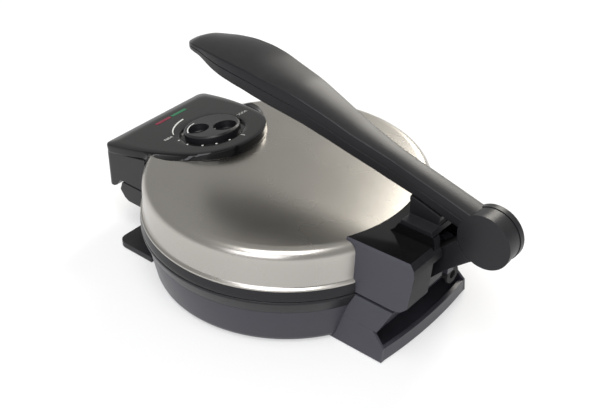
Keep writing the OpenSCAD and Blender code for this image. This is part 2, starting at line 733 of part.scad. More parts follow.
module thermostat_bracket() color([0.72, 0.72, 0.74]) at_plate() on_panel() difference() {
  union() {
    translate([-21, dial_y - 8, -14.2]) cube([42, 16, 1.2]);
    for (side = [-1, 1])
      translate([side * thermostat_screw_x, dial_y, -13.2]) cylinder(r = 3, h = 13.2 - dish_h);
  }
  translate([0, dial_y, -20]) cylinder(r = 5.6, h = 20);
  for (side = [-1, 1])
    translate([side * thermostat_screw_x, dial_y, -20]) cylinder(r = screw_r, h = 20);
}

module hinge_hood() color([0.03, 0.03, 0.035]) at_plate() difference() {
  union() {
    intersection() {
      along_x(60, [[80, hood_low_z], [141, hood_low_z], [147.5, 50.5], [152, 55], [153.6, 69], [154.8, 83],
        [154, 88], [150, hood_z + 1.8], [118, hood_z + 0.8], [80, hood_z]]);
      along_y(80, 160, [[-block_x(hood_low_z), hood_low_z], [block_x(hood_low_z), hood_low_z], [46.6, 88],
        [44.6, 94], [-44.6, 94], [-46.6, 88], [-block_x(hood_low_z), hood_low_z]]);
    }
    for (side = [-1, 1])
      translate([side * (rail_in + rail_out) / 2, 0, 0])
        along_x((rail_out - rail_in) / 2, [[112, hood_z - 1], [118, hood_z + 4], [121, rail_z], [151, rail_z],
          [152.4, 96], [152.4, hood_z - 1]]);
  }
  difference() {
    intersection() {
      along_x(block_half - 2 * wall, [[70, 30], [138.6, 30], [138.6, hood_low_z + 1], [145.2, 52.8],
        [149.2, 57], [151, 70], [152, 82], [151.2, 87], [149, hood_z + 1.8 - wall], [70, hood_z - wall]]);
      along_y(70, 160, [[-47.4, 30], [47.4, 30], [44, 87], [42.4, 91.6], [-42.4, 91.6], [-44, 87]]);
    }
    for (side = [-1, 1])
      translate([side * (lug_in + lug_out) / 2, 0, 0]) {
        translate([-(lug_out - lug_in) / 2, pin_y - lug_half, pin_z])
          cube([lug_out - lug_in, 2 * lug_half + 8, 40]);
        x_cyl(pin_y, pin_z, lug_half, -(lug_out - lug_in) / 2, (lug_out - lug_in) / 2);
      }
    for (side = [-1, 1])
      translate([side * hood_screw[0], 100, hood_screw[1]]) rotate([-90, 0, 0]) cylinder(r = 4.6, h = 31.4);
  }
  translate([-slot_half, 115, 0]) cube([2 * slot_half, 60, big]);
  translate([-notch_half, 115, 0]) cube([2 * notch_half, 60, 82]);
  x_cyl(pin_y, pin_z, pin_r + run_fit, -lug_out - 5, lug_out + 5);
  lid_envelope(0.05);
  cylinder(r = body_r - 12.4, h = big);
  for (side = [-1, 1])
    translate([side * hood_screw[0], 90, hood_screw[1]]) rotate([-90, 0, 0])
      cylinder(r = cover_screw_r, h = 28);
}

module hood_screws() color([0.7, 0.7, 0.7]) at_plate()
  for (side = [-1, 1])
    translate([side * hood_screw[0], 0, hood_screw[1]]) rotate([-90, 0, 0]) {
      translate([0, 0, 107]) cylinder(r = cover_screw_r, h = 10);
      translate([0, 0, 104.8]) cylinder(r = 4, h = 2.2);
    }

// Knob body

module knob() color([0.05, 0.05, 0.055]) at_plate() on_panel()
  translate([0, dial_y, 0]) rotate([0, 0, knob_turn])
  difference() {
    union() {
      translate([0, 0, 0.8 - recess_h]) cylinder(r = knob_r, h = recess_h + 2.4);
      translate([0, 0, 3.2]) cylinder(r1 = knob_r, r2 = knob_r - 1.2, h = 1.2);
    }
    for (side = [-1, 1])
      translate([0, side * 12.4, 0.6 - recess_h + 2]) cylinder(r = 9.4, h = 20);
    translate([0, 0, -recess_h]) cylinder(r = pin_r, h = 5.4);
  }

module thermostat_shaft() color([0.78, 0.78, 0.8]) at_plate() on_panel()
  translate([0, dial_y, -21]) cylinder(r = pin_r, h = 21 - recess_h + 5.4);

// Lever bodies

module lever_sleeve() color([0.85, 0.84, 0.8]) at_plate()
  for (side = [-1, 1]) difference() {
    x_cyl(barrel_y, barrel_z, sleeve_r, side > 0 ? disc_in : -bush_out, side > 0 ? bush_out : -disc_in);
    x_cyl(barrel_y, barrel_z, pin_r + run_fit, -40, 40);
  }

// A side disc of the barrel, with the root that fills the hollow lever's end.
module barrel_caps() color([0.14, 0.14, 0.15]) at_plate() difference() {
  union() {
    for (side = [-1, 1]) {
      x_cyl(barrel_y, barrel_z, barrel_r, side > 0 ? disc_in : -barrel_half,
        side > 0 ? barrel_half : -disc_in);
      translate([side * (disc_in + root_out) / 2, 0, 0]) along_x((root_out - disc_in) / 2, root_line);
    }
  }
  x_cyl(barrel_y, barrel_z, sleeve_r, -bush_out, bush_out);
}

module lever_side(y0, y1, low, high) {
  along_x(30, concat(
    [for (i = [0 : lever_steps]) if (station(i) >= y0 && station(i) <= y1) [station(i), high[i]]],
    [for (i = [lever_steps : -1 : 0]) if (station(i) >= y0 && station(i) <= y1) [station(i), low[i]]]));
}

module lever_plan(inset, y0) {
  steps = [for (i = [0 : lever_steps]) if (station(i) >= y0) station(i)];
  translate([0, 0, 90]) linear_extrude(height = 110) polygon(concat(
    [for (y = steps) [eased(y, girth) - inset, y]],
    [for (i = [len(steps) - 1 : -1 : 0]) [inset - eased(steps[i], girth), steps[i]]]));
}

top_z = [for (i = [0 : lever_steps]) eased(station(i), ridge)];
mid_z = [for (i = [0 : lever_steps]) lever_mid(station(i))];
low_z = [for (i = [0 : lever_steps]) eased(station(i), under)];

module barrel_bite() {
  x_cyl(barrel_y, barrel_z, barrel_r, -40, 40);
}

module lever_top_shell() color([0.15, 0.15, 0.16]) at_plate() difference() {
  intersection() {
    lever_side(-200, 300, mid_z, top_z);
    lever_plan(0, -200);
  }
  intersection() {
    lever_side(hollow_y, 300, [for (z = mid_z) z - 1], [for (z = top_z) z - lever_wall]);
    lever_plan(lever_wall, hollow_y);
  }
  barrel_bite();
}

module lever_bottom_shell() color([0.12, 0.12, 0.13]) at_plate() difference() {
  intersection() {
    lever_side(-200, 300, low_z, mid_z);
    lever_plan(0, -200);
  }
  intersection() {
    lever_side(hollow_y, 300, [for (z = low_z) z + lever_wall], [for (z = mid_z) z + 1]);
    lever_plan(lever_wall, hollow_y);
  }
  barrel_bite();
  for (y = screw_ys) {
    translate([0, y, 80]) cylinder(r = 2 * screw_r, h = eased(y, under) + 2.3 - 80);
    translate([0, y, 80]) cylinder(r = screw_r, h = 60);
  }
}

module lever_core() color([0.5, 0.5, 0.52]) at_plate() difference() {
  intersection() {
    lever_side(10, 300, [for (z = low_z) z + lever_wall], [for (z = top_z) z - lever_wall]);
    translate([-core_half, -100, 0]) cube([2 * core_half, 400, 300]);
  }
  barrel_bite();
  for (y = screw_ys) {
    translate([0, y, 80]) cylinder(r = 2 * screw_r, h = eased(y, under) + 2.3 - 80);
    translate([0, y, 80]) cylinder(r = screw_r, h = eased(y, under) + 9.9 - 80);
  }
}

module lever_screws() color([0.6, 0.6, 0.62]) at_plate()
  for (y = screw_ys)
    translate([0, y, eased(y, under) + 0.9]) {
      cylinder(r = 2 * screw_r - 0.2, h = 1.4);
      cylinder(r = screw_r, h = 9);
    }

module press_pad() color([0.12, 0.12, 0.13]) at_plate() difference() {
  union() {
    along_x(barrel_half, [[123, rail_z + pad_gap], [150, rail_z + pad_gap], [147.6, 105], [149.6, 116],
      [122, 124]]);
    along_x(rail_out, [[122, rail_z + pad_gap], [150.4, rail_z + pad_gap], [149, 104], [123.4, 104]]);
  }
  lever_side(60, 300, low_z, top_z);
  barrel_bite();
}

base_shell();
base_rim();
bottom_cover();
front_foot();
front_ledge();
rear_foot();
rear_block();
rubber_feet();
lower_plate();
lower_element();
lower_heat_shield();
lower_plate_screws();
lower_shield_screws();
bottom_cover_screws();
terminal_block();
thermal_fuse();
cord_gland();
hinge_pin();
hinge_clips();
lever_bracket();
bracket_screws();
barrel_pin();
barrel_caps();
lid_ring();
lid_cover();
upper_plate();
upper_element();
upper_heat_shield();
upper_plate_screws();
upper_shield_screws();
front_handle();
handle_screws();
control_panel();
power_lens();
ready_lens();
lamps();
lamp_board();
thermostat();
thermostat_bracket();
hinge_hood();
hood_screws();
knob();
thermostat_shaft();
lever_sleeve();
lever_core();
lever_top_shell();
lever_bottom_shell();
lever_screws();
press_pad();
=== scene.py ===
# %% [markdown]
# An electric roti maker in a white studio
#
# The machine presses and bakes flatbread between two hot plates. It has a moulded base, a
# stainless lid with a glossy control panel, and a long lever that presses the lid down.
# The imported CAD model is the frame: it says where every piece sits and how it moves. This
# lesson gives each visible piece a finer mesh and every piece a procedural finish.

# %% Load the frame
import json
import math

import bmesh
import bpy
from mathutils import Matrix, Vector


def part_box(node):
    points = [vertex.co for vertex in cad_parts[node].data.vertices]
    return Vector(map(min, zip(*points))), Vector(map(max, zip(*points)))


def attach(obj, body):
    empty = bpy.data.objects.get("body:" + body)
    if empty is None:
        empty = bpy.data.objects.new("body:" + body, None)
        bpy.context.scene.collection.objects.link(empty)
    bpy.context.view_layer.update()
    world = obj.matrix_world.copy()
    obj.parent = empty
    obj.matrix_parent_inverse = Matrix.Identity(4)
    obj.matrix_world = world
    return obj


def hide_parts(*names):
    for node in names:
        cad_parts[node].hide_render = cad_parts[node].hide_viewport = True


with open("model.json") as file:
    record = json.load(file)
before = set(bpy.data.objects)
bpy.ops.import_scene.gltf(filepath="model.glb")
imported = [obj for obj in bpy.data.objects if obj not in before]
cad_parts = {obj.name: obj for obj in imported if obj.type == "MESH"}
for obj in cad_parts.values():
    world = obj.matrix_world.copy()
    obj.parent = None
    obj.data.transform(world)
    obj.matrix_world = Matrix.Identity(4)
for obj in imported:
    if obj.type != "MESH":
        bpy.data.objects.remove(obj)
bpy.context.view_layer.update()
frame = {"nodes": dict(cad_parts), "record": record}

# %% [markdown]
# Measures
#
# The drawings of this machine count in millimetres round the axis of the round plates, while
# Blender counts in metres from the middle of the whole machine. The base shell is round, so
# the middle of its box gives the plate axis. One small function then turns drawing
# coordinates into scene coordinates, and every piece below uses it.

# %% From drawing to scene
MM = 0.001
shell_low, shell_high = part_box("base_shell")
PLATE_Y = (shell_low.y + shell_high.y) / 2


def at(x, y, z):
    return Vector((x * MM, y * MM + PLATE_Y, z * MM))


print("plate axis lies at y =", round(PLATE_Y, 4))

# %% [markdown]
# Mesh helpers
#
# Nearly all pieces are one of three kinds. Round pieces are turned: a profile goes round the
# axis. Flowing pieces are lofted: closed rings of points are joined one to the next. Blocky
# mouldings start from the CAD solid, whose sharp edges get the small radius that every
# moulding has. The helpers keep quads wherever they can, because quads shade smoothly.

# %% Objects from points
SAME_PLACE = 1e-7
MOST_OF_SIDE = 0.46


def object_from(name, points, faces, crease=32.0):
    mesh = bpy.data.meshes.new(name)
    mesh.from_pydata([tuple(p) for p in points], [], faces)
    work = bmesh.new()
    work.from_mesh(mesh)
    bmesh.ops.remove_doubles(work, verts=work.verts, dist=SAME_PLACE)
    bmesh.ops.dissolve_degenerate(work, edges=work.edges, dist=SAME_PLACE)
    bmesh.ops.recalc_face_normals(work, faces=work.faces)
    work.to_mesh(mesh)
    work.free()
    mesh.shade_smooth()
    mesh.set_sharp_from_angle(angle=math.radians(crease))
    piece = bpy.data.objects.new(name, mesh)
    bpy.context.scene.collection.objects.link(piece)
    return piece


def rounded(corners, steps=4):
    """A closed outline of (across, up, radius) corners, with an arc at each corner."""
    line = []
    count = len(corners)
    for i, (across, up, radius) in enumerate(corners):
        here = Vector((across, up))
        before = Vector(corners[i - 1][:2])
        after = Vector(corners[(i + 1) % count][:2])
        if radius == 0:
            line.append((across, up))
            continue
        back = before - here
        ahead = after - here
        reach = radius / max(0.05, math.tan(back.angle(ahead) / 2))
        reach = min(reach, MOST_OF_SIDE * min(back.length, ahead.length))
        start = here + back.normalized() * reach
        end = here + ahead.normalized() * reach
        for k in range(steps + 1):
            t = k / steps
            spot = start * (1 - t) ** 2 + here * (2 * t * (1 - t)) + end * t ** 2
            line.append((spot.x, spot.y))
    return line


def rings_to_faces(rings, closed_loft=False):
    """Joins rings of equal length into quads; an open loft gets a cap at both ends."""
    size = len(rings[0])
    points = [p for ring in rings for p in ring]
    faces = []
    spans = len(rings) if closed_loft else len(rings) - 1
    for i in range(spans):
        low = i * size
        high = ((i + 1) % len(rings)) * size
        for k in range(size):
            m = (k + 1) % size
            faces.append((low + k, low + m, high + m, high + k))
    if not closed_loft:
        faces.append(tuple(range(size - 1, -1, -1)))
        faces.append(tuple(range((len(rings) - 1) * size, len(rings) * size)))
    return points, faces


def turned(name, line, place, steps=240, crease=32.0):
    """A closed (radius, height) outline turned round the axis; place() gives the scene point."""
    rings = []
    for k in range(steps):
        turn = 2 * math.pi * k / steps
        rings.append([place(r * math.cos(turn), r * math.sin(turn), z) for r, z in line])
    return object_from(name, *rings_to_faces(rings, closed_loft=True), crease)


# %% Cutting and softening
CAD_WELD = 2e-6
FLAT_ANGLE = math.radians(0.6)


def settle(piece):
    """Replaces the mesh by what its modifiers make of it."""
    graph = bpy.context.evaluated_depsgraph_get()
    mesh = bpy.data.meshes.new_from_object(piece.evaluated_get(graph))
    piece.modifiers.clear()
    piece.data = mesh


def cut_away(piece, *cutters):
    """Cuts the cutters' shapes out of the piece and deletes them."""
    for cutter in cutters:
        cut = piece.modifiers.new("cut", "BOOLEAN")
        cut.operation = "DIFFERENCE"
        cut.solver = "EXACT"
        cut.object = cutter
        settle(piece)
        bpy.data.objects.remove(cutter)


def add_radius(piece, radius, corner_angle=32.0, rounds=3):
    """Rounds the sharp edges by a radius in millimetres, and evens the shading."""
    bevel = piece.modifiers.new("edge_radius", "BEVEL")
    bevel.width = radius * MM
    bevel.segments = rounds
    bevel.limit_method = "ANGLE"
    bevel.angle_limit = math.radians(corner_angle)
    bevel.use_clamp_overlap = True
    even = piece.modifiers.new("even_shading", "WEIGHTED_NORMAL")
    even.keep_sharp = True
    even.weight = 80


def cleaned_copy(node, name):
    """A copy of a CAD node's mesh whose flat areas are whole faces again."""
    mesh = frame["nodes"][node].data.copy()
    mesh.name = name
    work = bmesh.new()
    work.from_mesh(mesh)
    bmesh.ops.remove_doubles(work, verts=work.verts, dist=CAD_WELD)
    bmesh.ops.dissolve_degenerate(work, edges=work.edges, dist=CAD_WELD)
    bmesh.ops.dissolve_limit(
        work, angle_limit=FLAT_ANGLE, verts=work.verts, edges=work.edges, delimit={"NORMAL"}
    )
    bmesh.ops.recalc_face_normals(work, faces=work.faces)
    work.to_mesh(mesh)
    work.free()
    for extra in ("custom_normal", "sharp_face", "sharp_edge"):
        if extra in mesh.attributes:
            mesh.attributes.remove(mesh.attributes[extra])
    mesh.shade_smooth()
    piece = bpy.data.objects.new(name, mesh)
    bpy.context.scene.collection.objects.link(piece)
    return piece


# %% [markdown]
# Who rides on what
#
# Each piece has to move with the right body, and it takes its finish from a slot in the
# record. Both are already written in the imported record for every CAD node, so a piece that
# stands for a node can look them up. This saves a long list and can't disagree with the CAD.

# %% Body and slot of every node
record = frame["record"]
bodies = record["behaviour"]["bodies"]
body_of_node = {node: body for body, nodes in bodies.items() for node in nodes}
slot_of_node = {row["node"]: row["material_slot"] for row in record["subparts"]}
finishes = {}


def stands_for(piece, node):
    """The piece replaces the node, rides on its body and takes its finish."""
    slot = slot_of_node[node]
    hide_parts(node)
    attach(piece, body_of_node[node])
    piece.data.materials.clear()
    piece.data.materials.append(finishes[slot])
    for face in piece.data.polygons:
        face.material_index = 0


def print_on(piece, node):
    """The piece is print on a node's face, and rides with it."""
    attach(piece, body_of_node[node])
    piece.data.materials.clear()
    piece.data.materials.append(finishes["print_white"])


def soften(node, radius):
    """The CAD node's own shape with moulded edges."""
    piece = cleaned_copy(node, node + "_moulded")
    add_radius(piece, radius)
    stands_for(piece, node)
    return piece


# %% [markdown]
# Effects as node groups
#
# A real surface is never one colour. Moulded plastic has a fine spark-eroded grain, steel
# shows brushing lines, edges get rubbed and level faces gather dust. Each effect is a node
# group that is built once and used with other values in each finish. A group only gives
# masks and heights, and the shader with its fixed numbers stays in the material.

# %% Node helpers
def new_group(name, inputs, outputs):
    group = bpy.data.node_groups.new(name, "ShaderNodeTree")
    for label, kind, value in inputs:
        socket = group.interface.new_socket(label, in_out="INPUT", socket_type=kind)
        if kind == "NodeSocketFloat":
            socket.default_value = value
    for label in outputs:
        group.interface.new_socket(label, in_out="OUTPUT", socket_type="NodeSocketFloat")
    return group, group.nodes.new("NodeGroupInput"), group.nodes.new("NodeGroupOutput")


def add_node(tree, kind, values=None, **settings):
    made = tree.nodes.new(kind)
    for key, value in settings.items():
        setattr(made, key, value)
    for key, value in (values or {}).items():
        made.inputs[key].default_value = value
    return made


def join(tree, *pairs):
    for source, target in pairs:
        tree.links.new(source, target)


PLACE = ("Place", "NodeSocketVector", None)


def number(label, value):
    """A number socket of a group, with its usual value."""
    return label, "NodeSocketFloat", value


# %% Grain of moulded plastic
grain, entry, leave = new_group("moulded_grain", [PLACE, number("Cells", 2200.0)], ["Height", "Cloud"])
fine = add_node(grain, "ShaderNodeTexNoise", {"Detail": 2.0, "Roughness": 0.55})
cloud = add_node(grain, "ShaderNodeTexNoise", {"Scale": 38.0, "Detail": 4.0, "Roughness": 0.6})
join(
    grain,
    (entry.outputs["Place"], fine.inputs["Vector"]),
    (entry.outputs["Cells"], fine.inputs["Scale"]),
    (entry.outputs["Place"], cloud.inputs["Vector"]),
    (fine.outputs[0], leave.inputs["Height"]),
    (cloud.outputs[0], leave.inputs["Cloud"]),
)

# %% Lines of brushed steel
brushed, entry, leave = new_group(
    "brushed_lines", [PLACE, number("Along", 9.0), number("Across", 900.0)], ["Height", "Cloud"]
)
split = add_node(brushed, "ShaderNodeSeparateXYZ")
long_way = add_node(brushed, "ShaderNodeMath", operation="MULTIPLY")
cross_way = add_node(brushed, "ShaderNodeMath", operation="MULTIPLY")
up_way = add_node(brushed, "ShaderNodeMath", operation="MULTIPLY")
merge = add_node(brushed, "ShaderNodeCombineXYZ")
lines = add_node(brushed, "ShaderNodeTexNoise", {"Scale": 1.0, "Detail": 3.0, "Roughness": 0.65})
sheen = add_node(brushed, "ShaderNodeTexNoise", {"Scale": 17.0, "Detail": 2.0})
join(
    brushed,
    (entry.outputs["Place"], split.inputs[0]),
    (split.outputs["X"], long_way.inputs[0]),
    (entry.outputs["Along"], long_way.inputs[1]),
    (split.outputs["Y"], cross_way.inputs[0]),
    (entry.outputs["Across"], cross_way.inputs[1]),
    (split.outputs["Z"], up_way.inputs[0]),
    (entry.outputs["Across"], up_way.inputs[1]),
    (long_way.outputs[0], merge.inputs["X"]),
    (cross_way.outputs[0], merge.inputs["Y"]),
    (up_way.outputs[0], merge.inputs["Z"]),
    (merge.outputs[0], lines.inputs["Vector"]),
    (entry.outputs["Place"], sheen.inputs["Vector"]),
    (lines.outputs[0], leave.inputs["Height"]),
    (sheen.outputs[0], leave.inputs["Cloud"]),
)

# %% Dust that settles on level faces
dust, entry, leave = new_group("settled_dust", [PLACE, number("Amount", 0.3)], ["Mask"])
facing = add_node(dust, "ShaderNodeNewGeometry")
tilt = add_node(dust, "ShaderNodeSeparateXYZ")
level = add_node(dust, "ShaderNodeMapRange", {"From Min": 0.55, "From Max": 1.0})
film = add_node(dust, "ShaderNodeTexNoise", {"Scale": 60.0, "Detail": 5.0, "Roughness": 0.7})
specks = add_node(dust, "ShaderNodeTexVoronoi", {"Scale": 420.0, "Randomness": 1.0})
points = add_node(dust, "ShaderNodeMapRange", {"From Min": 0.16, "From Max": 0.05, "To Max": 0.6})
both = add_node(dust, "ShaderNodeMath", operation="MAXIMUM")
lying = add_node(dust, "ShaderNodeMath", operation="MULTIPLY")
dosed = add_node(dust, "ShaderNodeMath", operation="MULTIPLY", use_clamp=True)
join(
    dust,
    (facing.outputs["Normal"], tilt.inputs[0]),
    (tilt.outputs["Z"], level.inputs["Value"]),
    (entry.outputs["Place"], film.inputs["Vector"]),
    (entry.outputs["Place"], specks.inputs["Vector"]),
    (specks.outputs["Distance"], points.inputs["Value"]),
    (film.outputs[0], both.inputs[0]),
    (points.outputs["Result"], both.inputs[1]),
    (both.outputs[0], lying.inputs[0]),
    (level.outputs["Result"], lying.inputs[1]),
    (lying.outputs[0], dosed.inputs[0]),
    (entry.outputs["Amount"], dosed.inputs[1]),
    (dosed.outputs[0], leave.inputs["Mask"]),
)

# %% Rubbed edges
rubbed, entry, leave = new_group("rubbed_edges", [PLACE, number("Amount", 0.5)], ["Mask"])
shape = add_node(rubbed, "ShaderNodeNewGeometry")
edge = add_node(rubbed, "ShaderNodeMapRange", {"From Min": 0.52, "From Max": 0.62})
patch = add_node(rubbed, "ShaderNodeTexNoise", {"Scale": 240.0, "Detail": 4.0, "Roughness": 0.7})
broken = add_node(rubbed, "ShaderNodeMath", operation="MULTIPLY")
amount = add_node(rubbed, "ShaderNodeMath", operation="MULTIPLY", use_clamp=True)
join(
    rubbed,
    (shape.outputs["Pointiness"], edge.inputs["Value"]),
    (entry.outputs["Place"], patch.inputs["Vector"]),
    (edge.outputs["Result"], broken.inputs[0]),
    (patch.outputs[0], broken.inputs[1]),
    (broken.outputs[0], amount.inputs[0]),
    (entry.outputs["Amount"], amount.inputs[1]),
    (amount.outputs[0], leave.inputs["Mask"]),
)

# %% Speckle of baked coatings and castings
speckle, entry, leave = new_group("baked_speckle", [PLACE, number("Cells", 900.0)], ["Height", "Flake"])
cells = add_node(speckle, "ShaderNodeTexVoronoi", {"Randomness": 1.0})
orange = add_node(speckle, "ShaderNodeTexNoise", {"Scale": 700.0, "Detail": 2.0})
flake = add_node(speckle, "ShaderNodeMapRange", {"From Min": 0.25, "From Max": 0.08})
join(
    speckle,
    (entry.outputs["Place"], cells.inputs["Vector"]),
    (entry.outputs["Cells"], cells.inputs["Scale"]),
    (entry.outputs["Place"], orange.inputs["Vector"]),
    (cells.outputs["Distance"], flake.inputs["Value"]),
    (orange.outputs[0], leave.inputs["Height"]),
    (flake.outputs["Result"], leave.inputs["Flake"]),
)
print("effects:", [g.name for g in bpy.data.node_groups])

# %% [markdown]
# Finishes
#
# Every finish is a Principled shader whose fixed numbers stand on its own sockets. What
# changes over the surface comes in through the groups: the base colour goes from its own
# tone to a lighter rubbed tone at the edges and to a grey dust tone on level faces, and the
# roughness follows the cloud of the relief group. Plastics and metals differ in their
# numbers and in the group that makes their relief, so one builder makes them all.

# %% One builder for all finishes
def use_group(tree, group, place, **values):
    made = tree.nodes.new("ShaderNodeGroup")
    made.node_tree = group
    tree.links.new(place, made.inputs["Place"])
    for key, value in values.items():
        made.inputs[key].default_value = value
    return made


def blend_colour(tree, factor, first, second):
    mix = add_node(tree, "ShaderNodeMix", data_type="RGBA")
    mix.inputs[7].default_value = (*second, 1.0)
    if isinstance(first, tuple):
        mix.inputs[6].default_value = (*first, 1.0)
    else:
        tree.links.new(first, mix.inputs[6])
    tree.links.new(factor, mix.inputs[0])
    return mix.outputs[2]


DUST_GREY = (0.42, 0.41, 0.39)


def finish(name, colour, tone, relief, relief_values, depth, rough, dusty, worn, **fixed):
    """colour and tone are the ends of the cloudy colour; rough is (lowest, highest)."""
    material = bpy.data.materials.new(name)
    material.use_nodes = True
    tree = material.node_tree
    shader = tree.nodes["Principled BSDF"]
    place = tree.nodes.new("ShaderNodeTexCoord").outputs["Object"]
    grown = use_group(tree, relief, place, **relief_values)
    cloud_mask = grown.outputs[1]
    base = blend_colour(tree, cloud_mask, colour, tone)
    if worn:
        lighter = tuple(min(1.0, c * 2.2 + 0.02) for c in tone)
        rub = use_group(tree, rubbed, place, Amount=worn)
        base = blend_colour(tree, rub.outputs["Mask"], base, lighter)
    if dusty:
        lying_dust = use_group(tree, dust, place, Amount=dusty)
        base = blend_colour(tree, lying_dust.outputs["Mask"], base, DUST_GREY)
    join(tree, (base, shader.inputs["Base Color"]))
    lowest, highest = rough
    spread = add_node(
        tree, "ShaderNodeMapRange", {"From Min": 0.1, "From Max": 0.9, "To Min": lowest, "To Max": highest}
    )
    join(tree, (cloud_mask, spread.inputs["Value"]), (spread.outputs["Result"], shader.inputs["Roughness"]))
    bump = add_node(tree, "ShaderNodeBump", {"Strength": 1.0, "Distance": depth * MM})
    join(
        tree,
        (grown.outputs["Height"], bump.inputs["Height"]),
        (bump.outputs["Normal"], shader.inputs["Normal"]),
    )
    for socket, value in fixed.items():
        shader.inputs[socket.replace("_", " ")].default_value = value
    finishes[name] = material


def plastic(name, colour, tone, rough, dusty=0.0, worn=0.0, cells=2200.0, depth=0.012, **fixed):
    finish(name, colour, tone, grain, {"Cells": cells}, depth, rough, dusty, worn, **fixed)


def steel(name, colour, tone, rough, dusty=0.0, depth=0.004):
    lines = {"Along": 14.0, "Across": 1500.0}
    finish(name, colour, tone, brushed, lines, depth, rough, dusty, 0.0, Metallic=1.0)


def speckled(name, colour, tone, rough, cells, depth, dusty=0.0, worn=0.0, **fixed):
    finish(name, colour, tone, speckle, {"Cells": cells}, depth, rough, dusty, worn, **fixed)


# %% Plastics, rubber and nylon
plastic(
    "base_plastic", (0.036, 0.035, 0.047), (0.045, 0.044, 0.058), rough=(0.30, 0.40), dusty=0.06, worn=0.25
)
plastic(
    "dark_plastic", (0.010, 0.010, 0.012), (0.014, 0.014, 0.016), rough=(0.30, 0.40), dusty=0.05, worn=0.2,
    Specular_IOR_Level=0.32,
)
plastic(
    "gloss_plastic", (0.003, 0.003, 0.0035), (0.005, 0.005, 0.0055), rough=(0.09, 0.13), dusty=0.012,
    worn=0.1, cells=900.0, depth=0.0012, Specular_IOR_Level=0.36,
)
plastic(
    "lever_plastic", (0.009, 0.009, 0.011), (0.012, 0.012, 0.014), rough=(0.30, 0.38), dusty=0.04, worn=0.2,
    depth=0.010, Specular_IOR_Level=0.24,
)
plastic(
    "rear_plastic", (0.008, 0.008, 0.010), (0.011, 0.011, 0.013), rough=(0.45, 0.55), dusty=0.03, worn=0.1,
    Specular_IOR_Level=0.2,
)
plastic("rubber", (0.012, 0.012, 0.012), (0.020, 0.020, 0.020), rough=(0.7, 0.85), dusty=0.1, depth=0.03)
plastic(
    "nylon", (0.60, 0.58, 0.52), (0.68, 0.66, 0.60), rough=(0.35, 0.5), dusty=0.05, cells=900.0, depth=0.01
)

# %% Metals
steel("stainless", (0.43, 0.41, 0.38), (0.48, 0.46, 0.43), rough=(0.25, 0.30), depth=0.0012)
steel("sheet_steel", (0.46, 0.46, 0.47), (0.58, 0.58, 0.59), rough=(0.35, 0.45), dusty=0.15)
steel("screw_steel", (0.50, 0.50, 0.50), (0.60, 0.60, 0.60), rough=(0.25, 0.35), dusty=0.05)

# %% Coatings, ceramic, board and print
speckled(
    "element_steel", (0.12, 0.105, 0.09), (0.20, 0.16, 0.12), rough=(0.45, 0.6), cells=600.0, depth=0.02,
    Metallic=1.0,
)
speckled(
    "plate_coat", (0.018, 0.018, 0.019), (0.07, 0.07, 0.072), rough=(0.38, 0.5), cells=1400.0, depth=0.012,
    worn=0.1,
)
speckled(
    "ceramic_body", (0.66, 0.62, 0.54), (0.74, 0.70, 0.62), rough=(0.5, 0.65), cells=1100.0, depth=0.02,
    dusty=0.1,
)
speckled(
    "board", (0.02, 0.10, 0.04), (0.03, 0.14, 0.06), rough=(0.35, 0.5), cells=700.0, depth=0.01, dusty=0.1
)
speckled("print_white", (0.62, 0.62, 0.60), (0.74, 0.74, 0.72), rough=(0.45, 0.6), cells=2500.0, depth=0.004)

# %% Lenses and lamp glass
CLEAR = {"cells": 900.0, "depth": 0.002}
LENS = {"rough": (0.25, 0.35), "Transmission_Weight": 0.2, "Specular_IOR_Level": 0.2, **CLEAR}
plastic("red_lens", (0.20, 0.008, 0.032), (0.25, 0.011, 0.042), **LENS)
plastic("green_lens", (0.010, 0.15, 0.065), (0.015, 0.20, 0.085), **LENS)
plastic(
    "lamp_glass", (0.80, 0.72, 0.60), (0.86, 0.80, 0.70), rough=(0.05, 0.12), Transmission_Weight=0.8, **CLEAR
)
print("finishes:", sorted(finishes))

# %% [markdown]
# CAD nodes that stay
#
# Screws, pins, heating elements and the other inner pieces have the right shape already.
# They keep their CAD mesh and only get a finish. Pieces that get a finer mesh below hide
# their node when they are made.

# %% A finish for every CAD node
for node, thing in frame["nodes"].items():
    if thing.type == "MESH":
        thing.data.materials.clear()
        thing.data.materials.append(finishes[slot_of_node[node]])

# %% [markdown]
# The round mouldings
#
# The base is a tapered pot with a flared rim, and the lid starts with a ring of the same
# plastic. They are turned shapes. Their profiles could be swept with a Screw modifier, but
# writing the rings directly keeps full control over the segments, and each corner of the
# profile gets its own small radius, so that the parting line catches the light.

# %% Radii and heights of the round mouldings
BODY_R = 118.0
WALL_TOP_R = 114.0
PLATE_HOLE_R = 104.2
LEDGE_R = 96.0
RIM_IN_R = BODY_R - 2.7
HOLE_OUT_R = PLATE_HOLE_R + 2.5
BASE_LOW = 2.0
WALL_TOP = 34.0
SEAM_LOW = 46.6
SEAM_HIGH = 47.2
RING_TOP = 56.0

# %% Base shell, base rim and lid ring
# Each corner is a radius from the axis, a height and the radius of its rounding.
base_shell = turned("base_pot", rounded([
    (105, BASE_LOW, 0.4), (107.8, 3.2, 1.4), (109, 6, 2.2), (WALL_TOP_R, WALL_TOP, 0.35),
    (98, WALL_TOP, 0.2), (98, 31.5, 0.2), (111.1, 31.5, 0.5), (106.3, 6.6, 1.0),
    (104.5, 4.4, 0.5), (102.5, 4.4, 0.2), (102.5, BASE_LOW, 0.3),
]), at)
stands_for(base_shell, "base_shell")

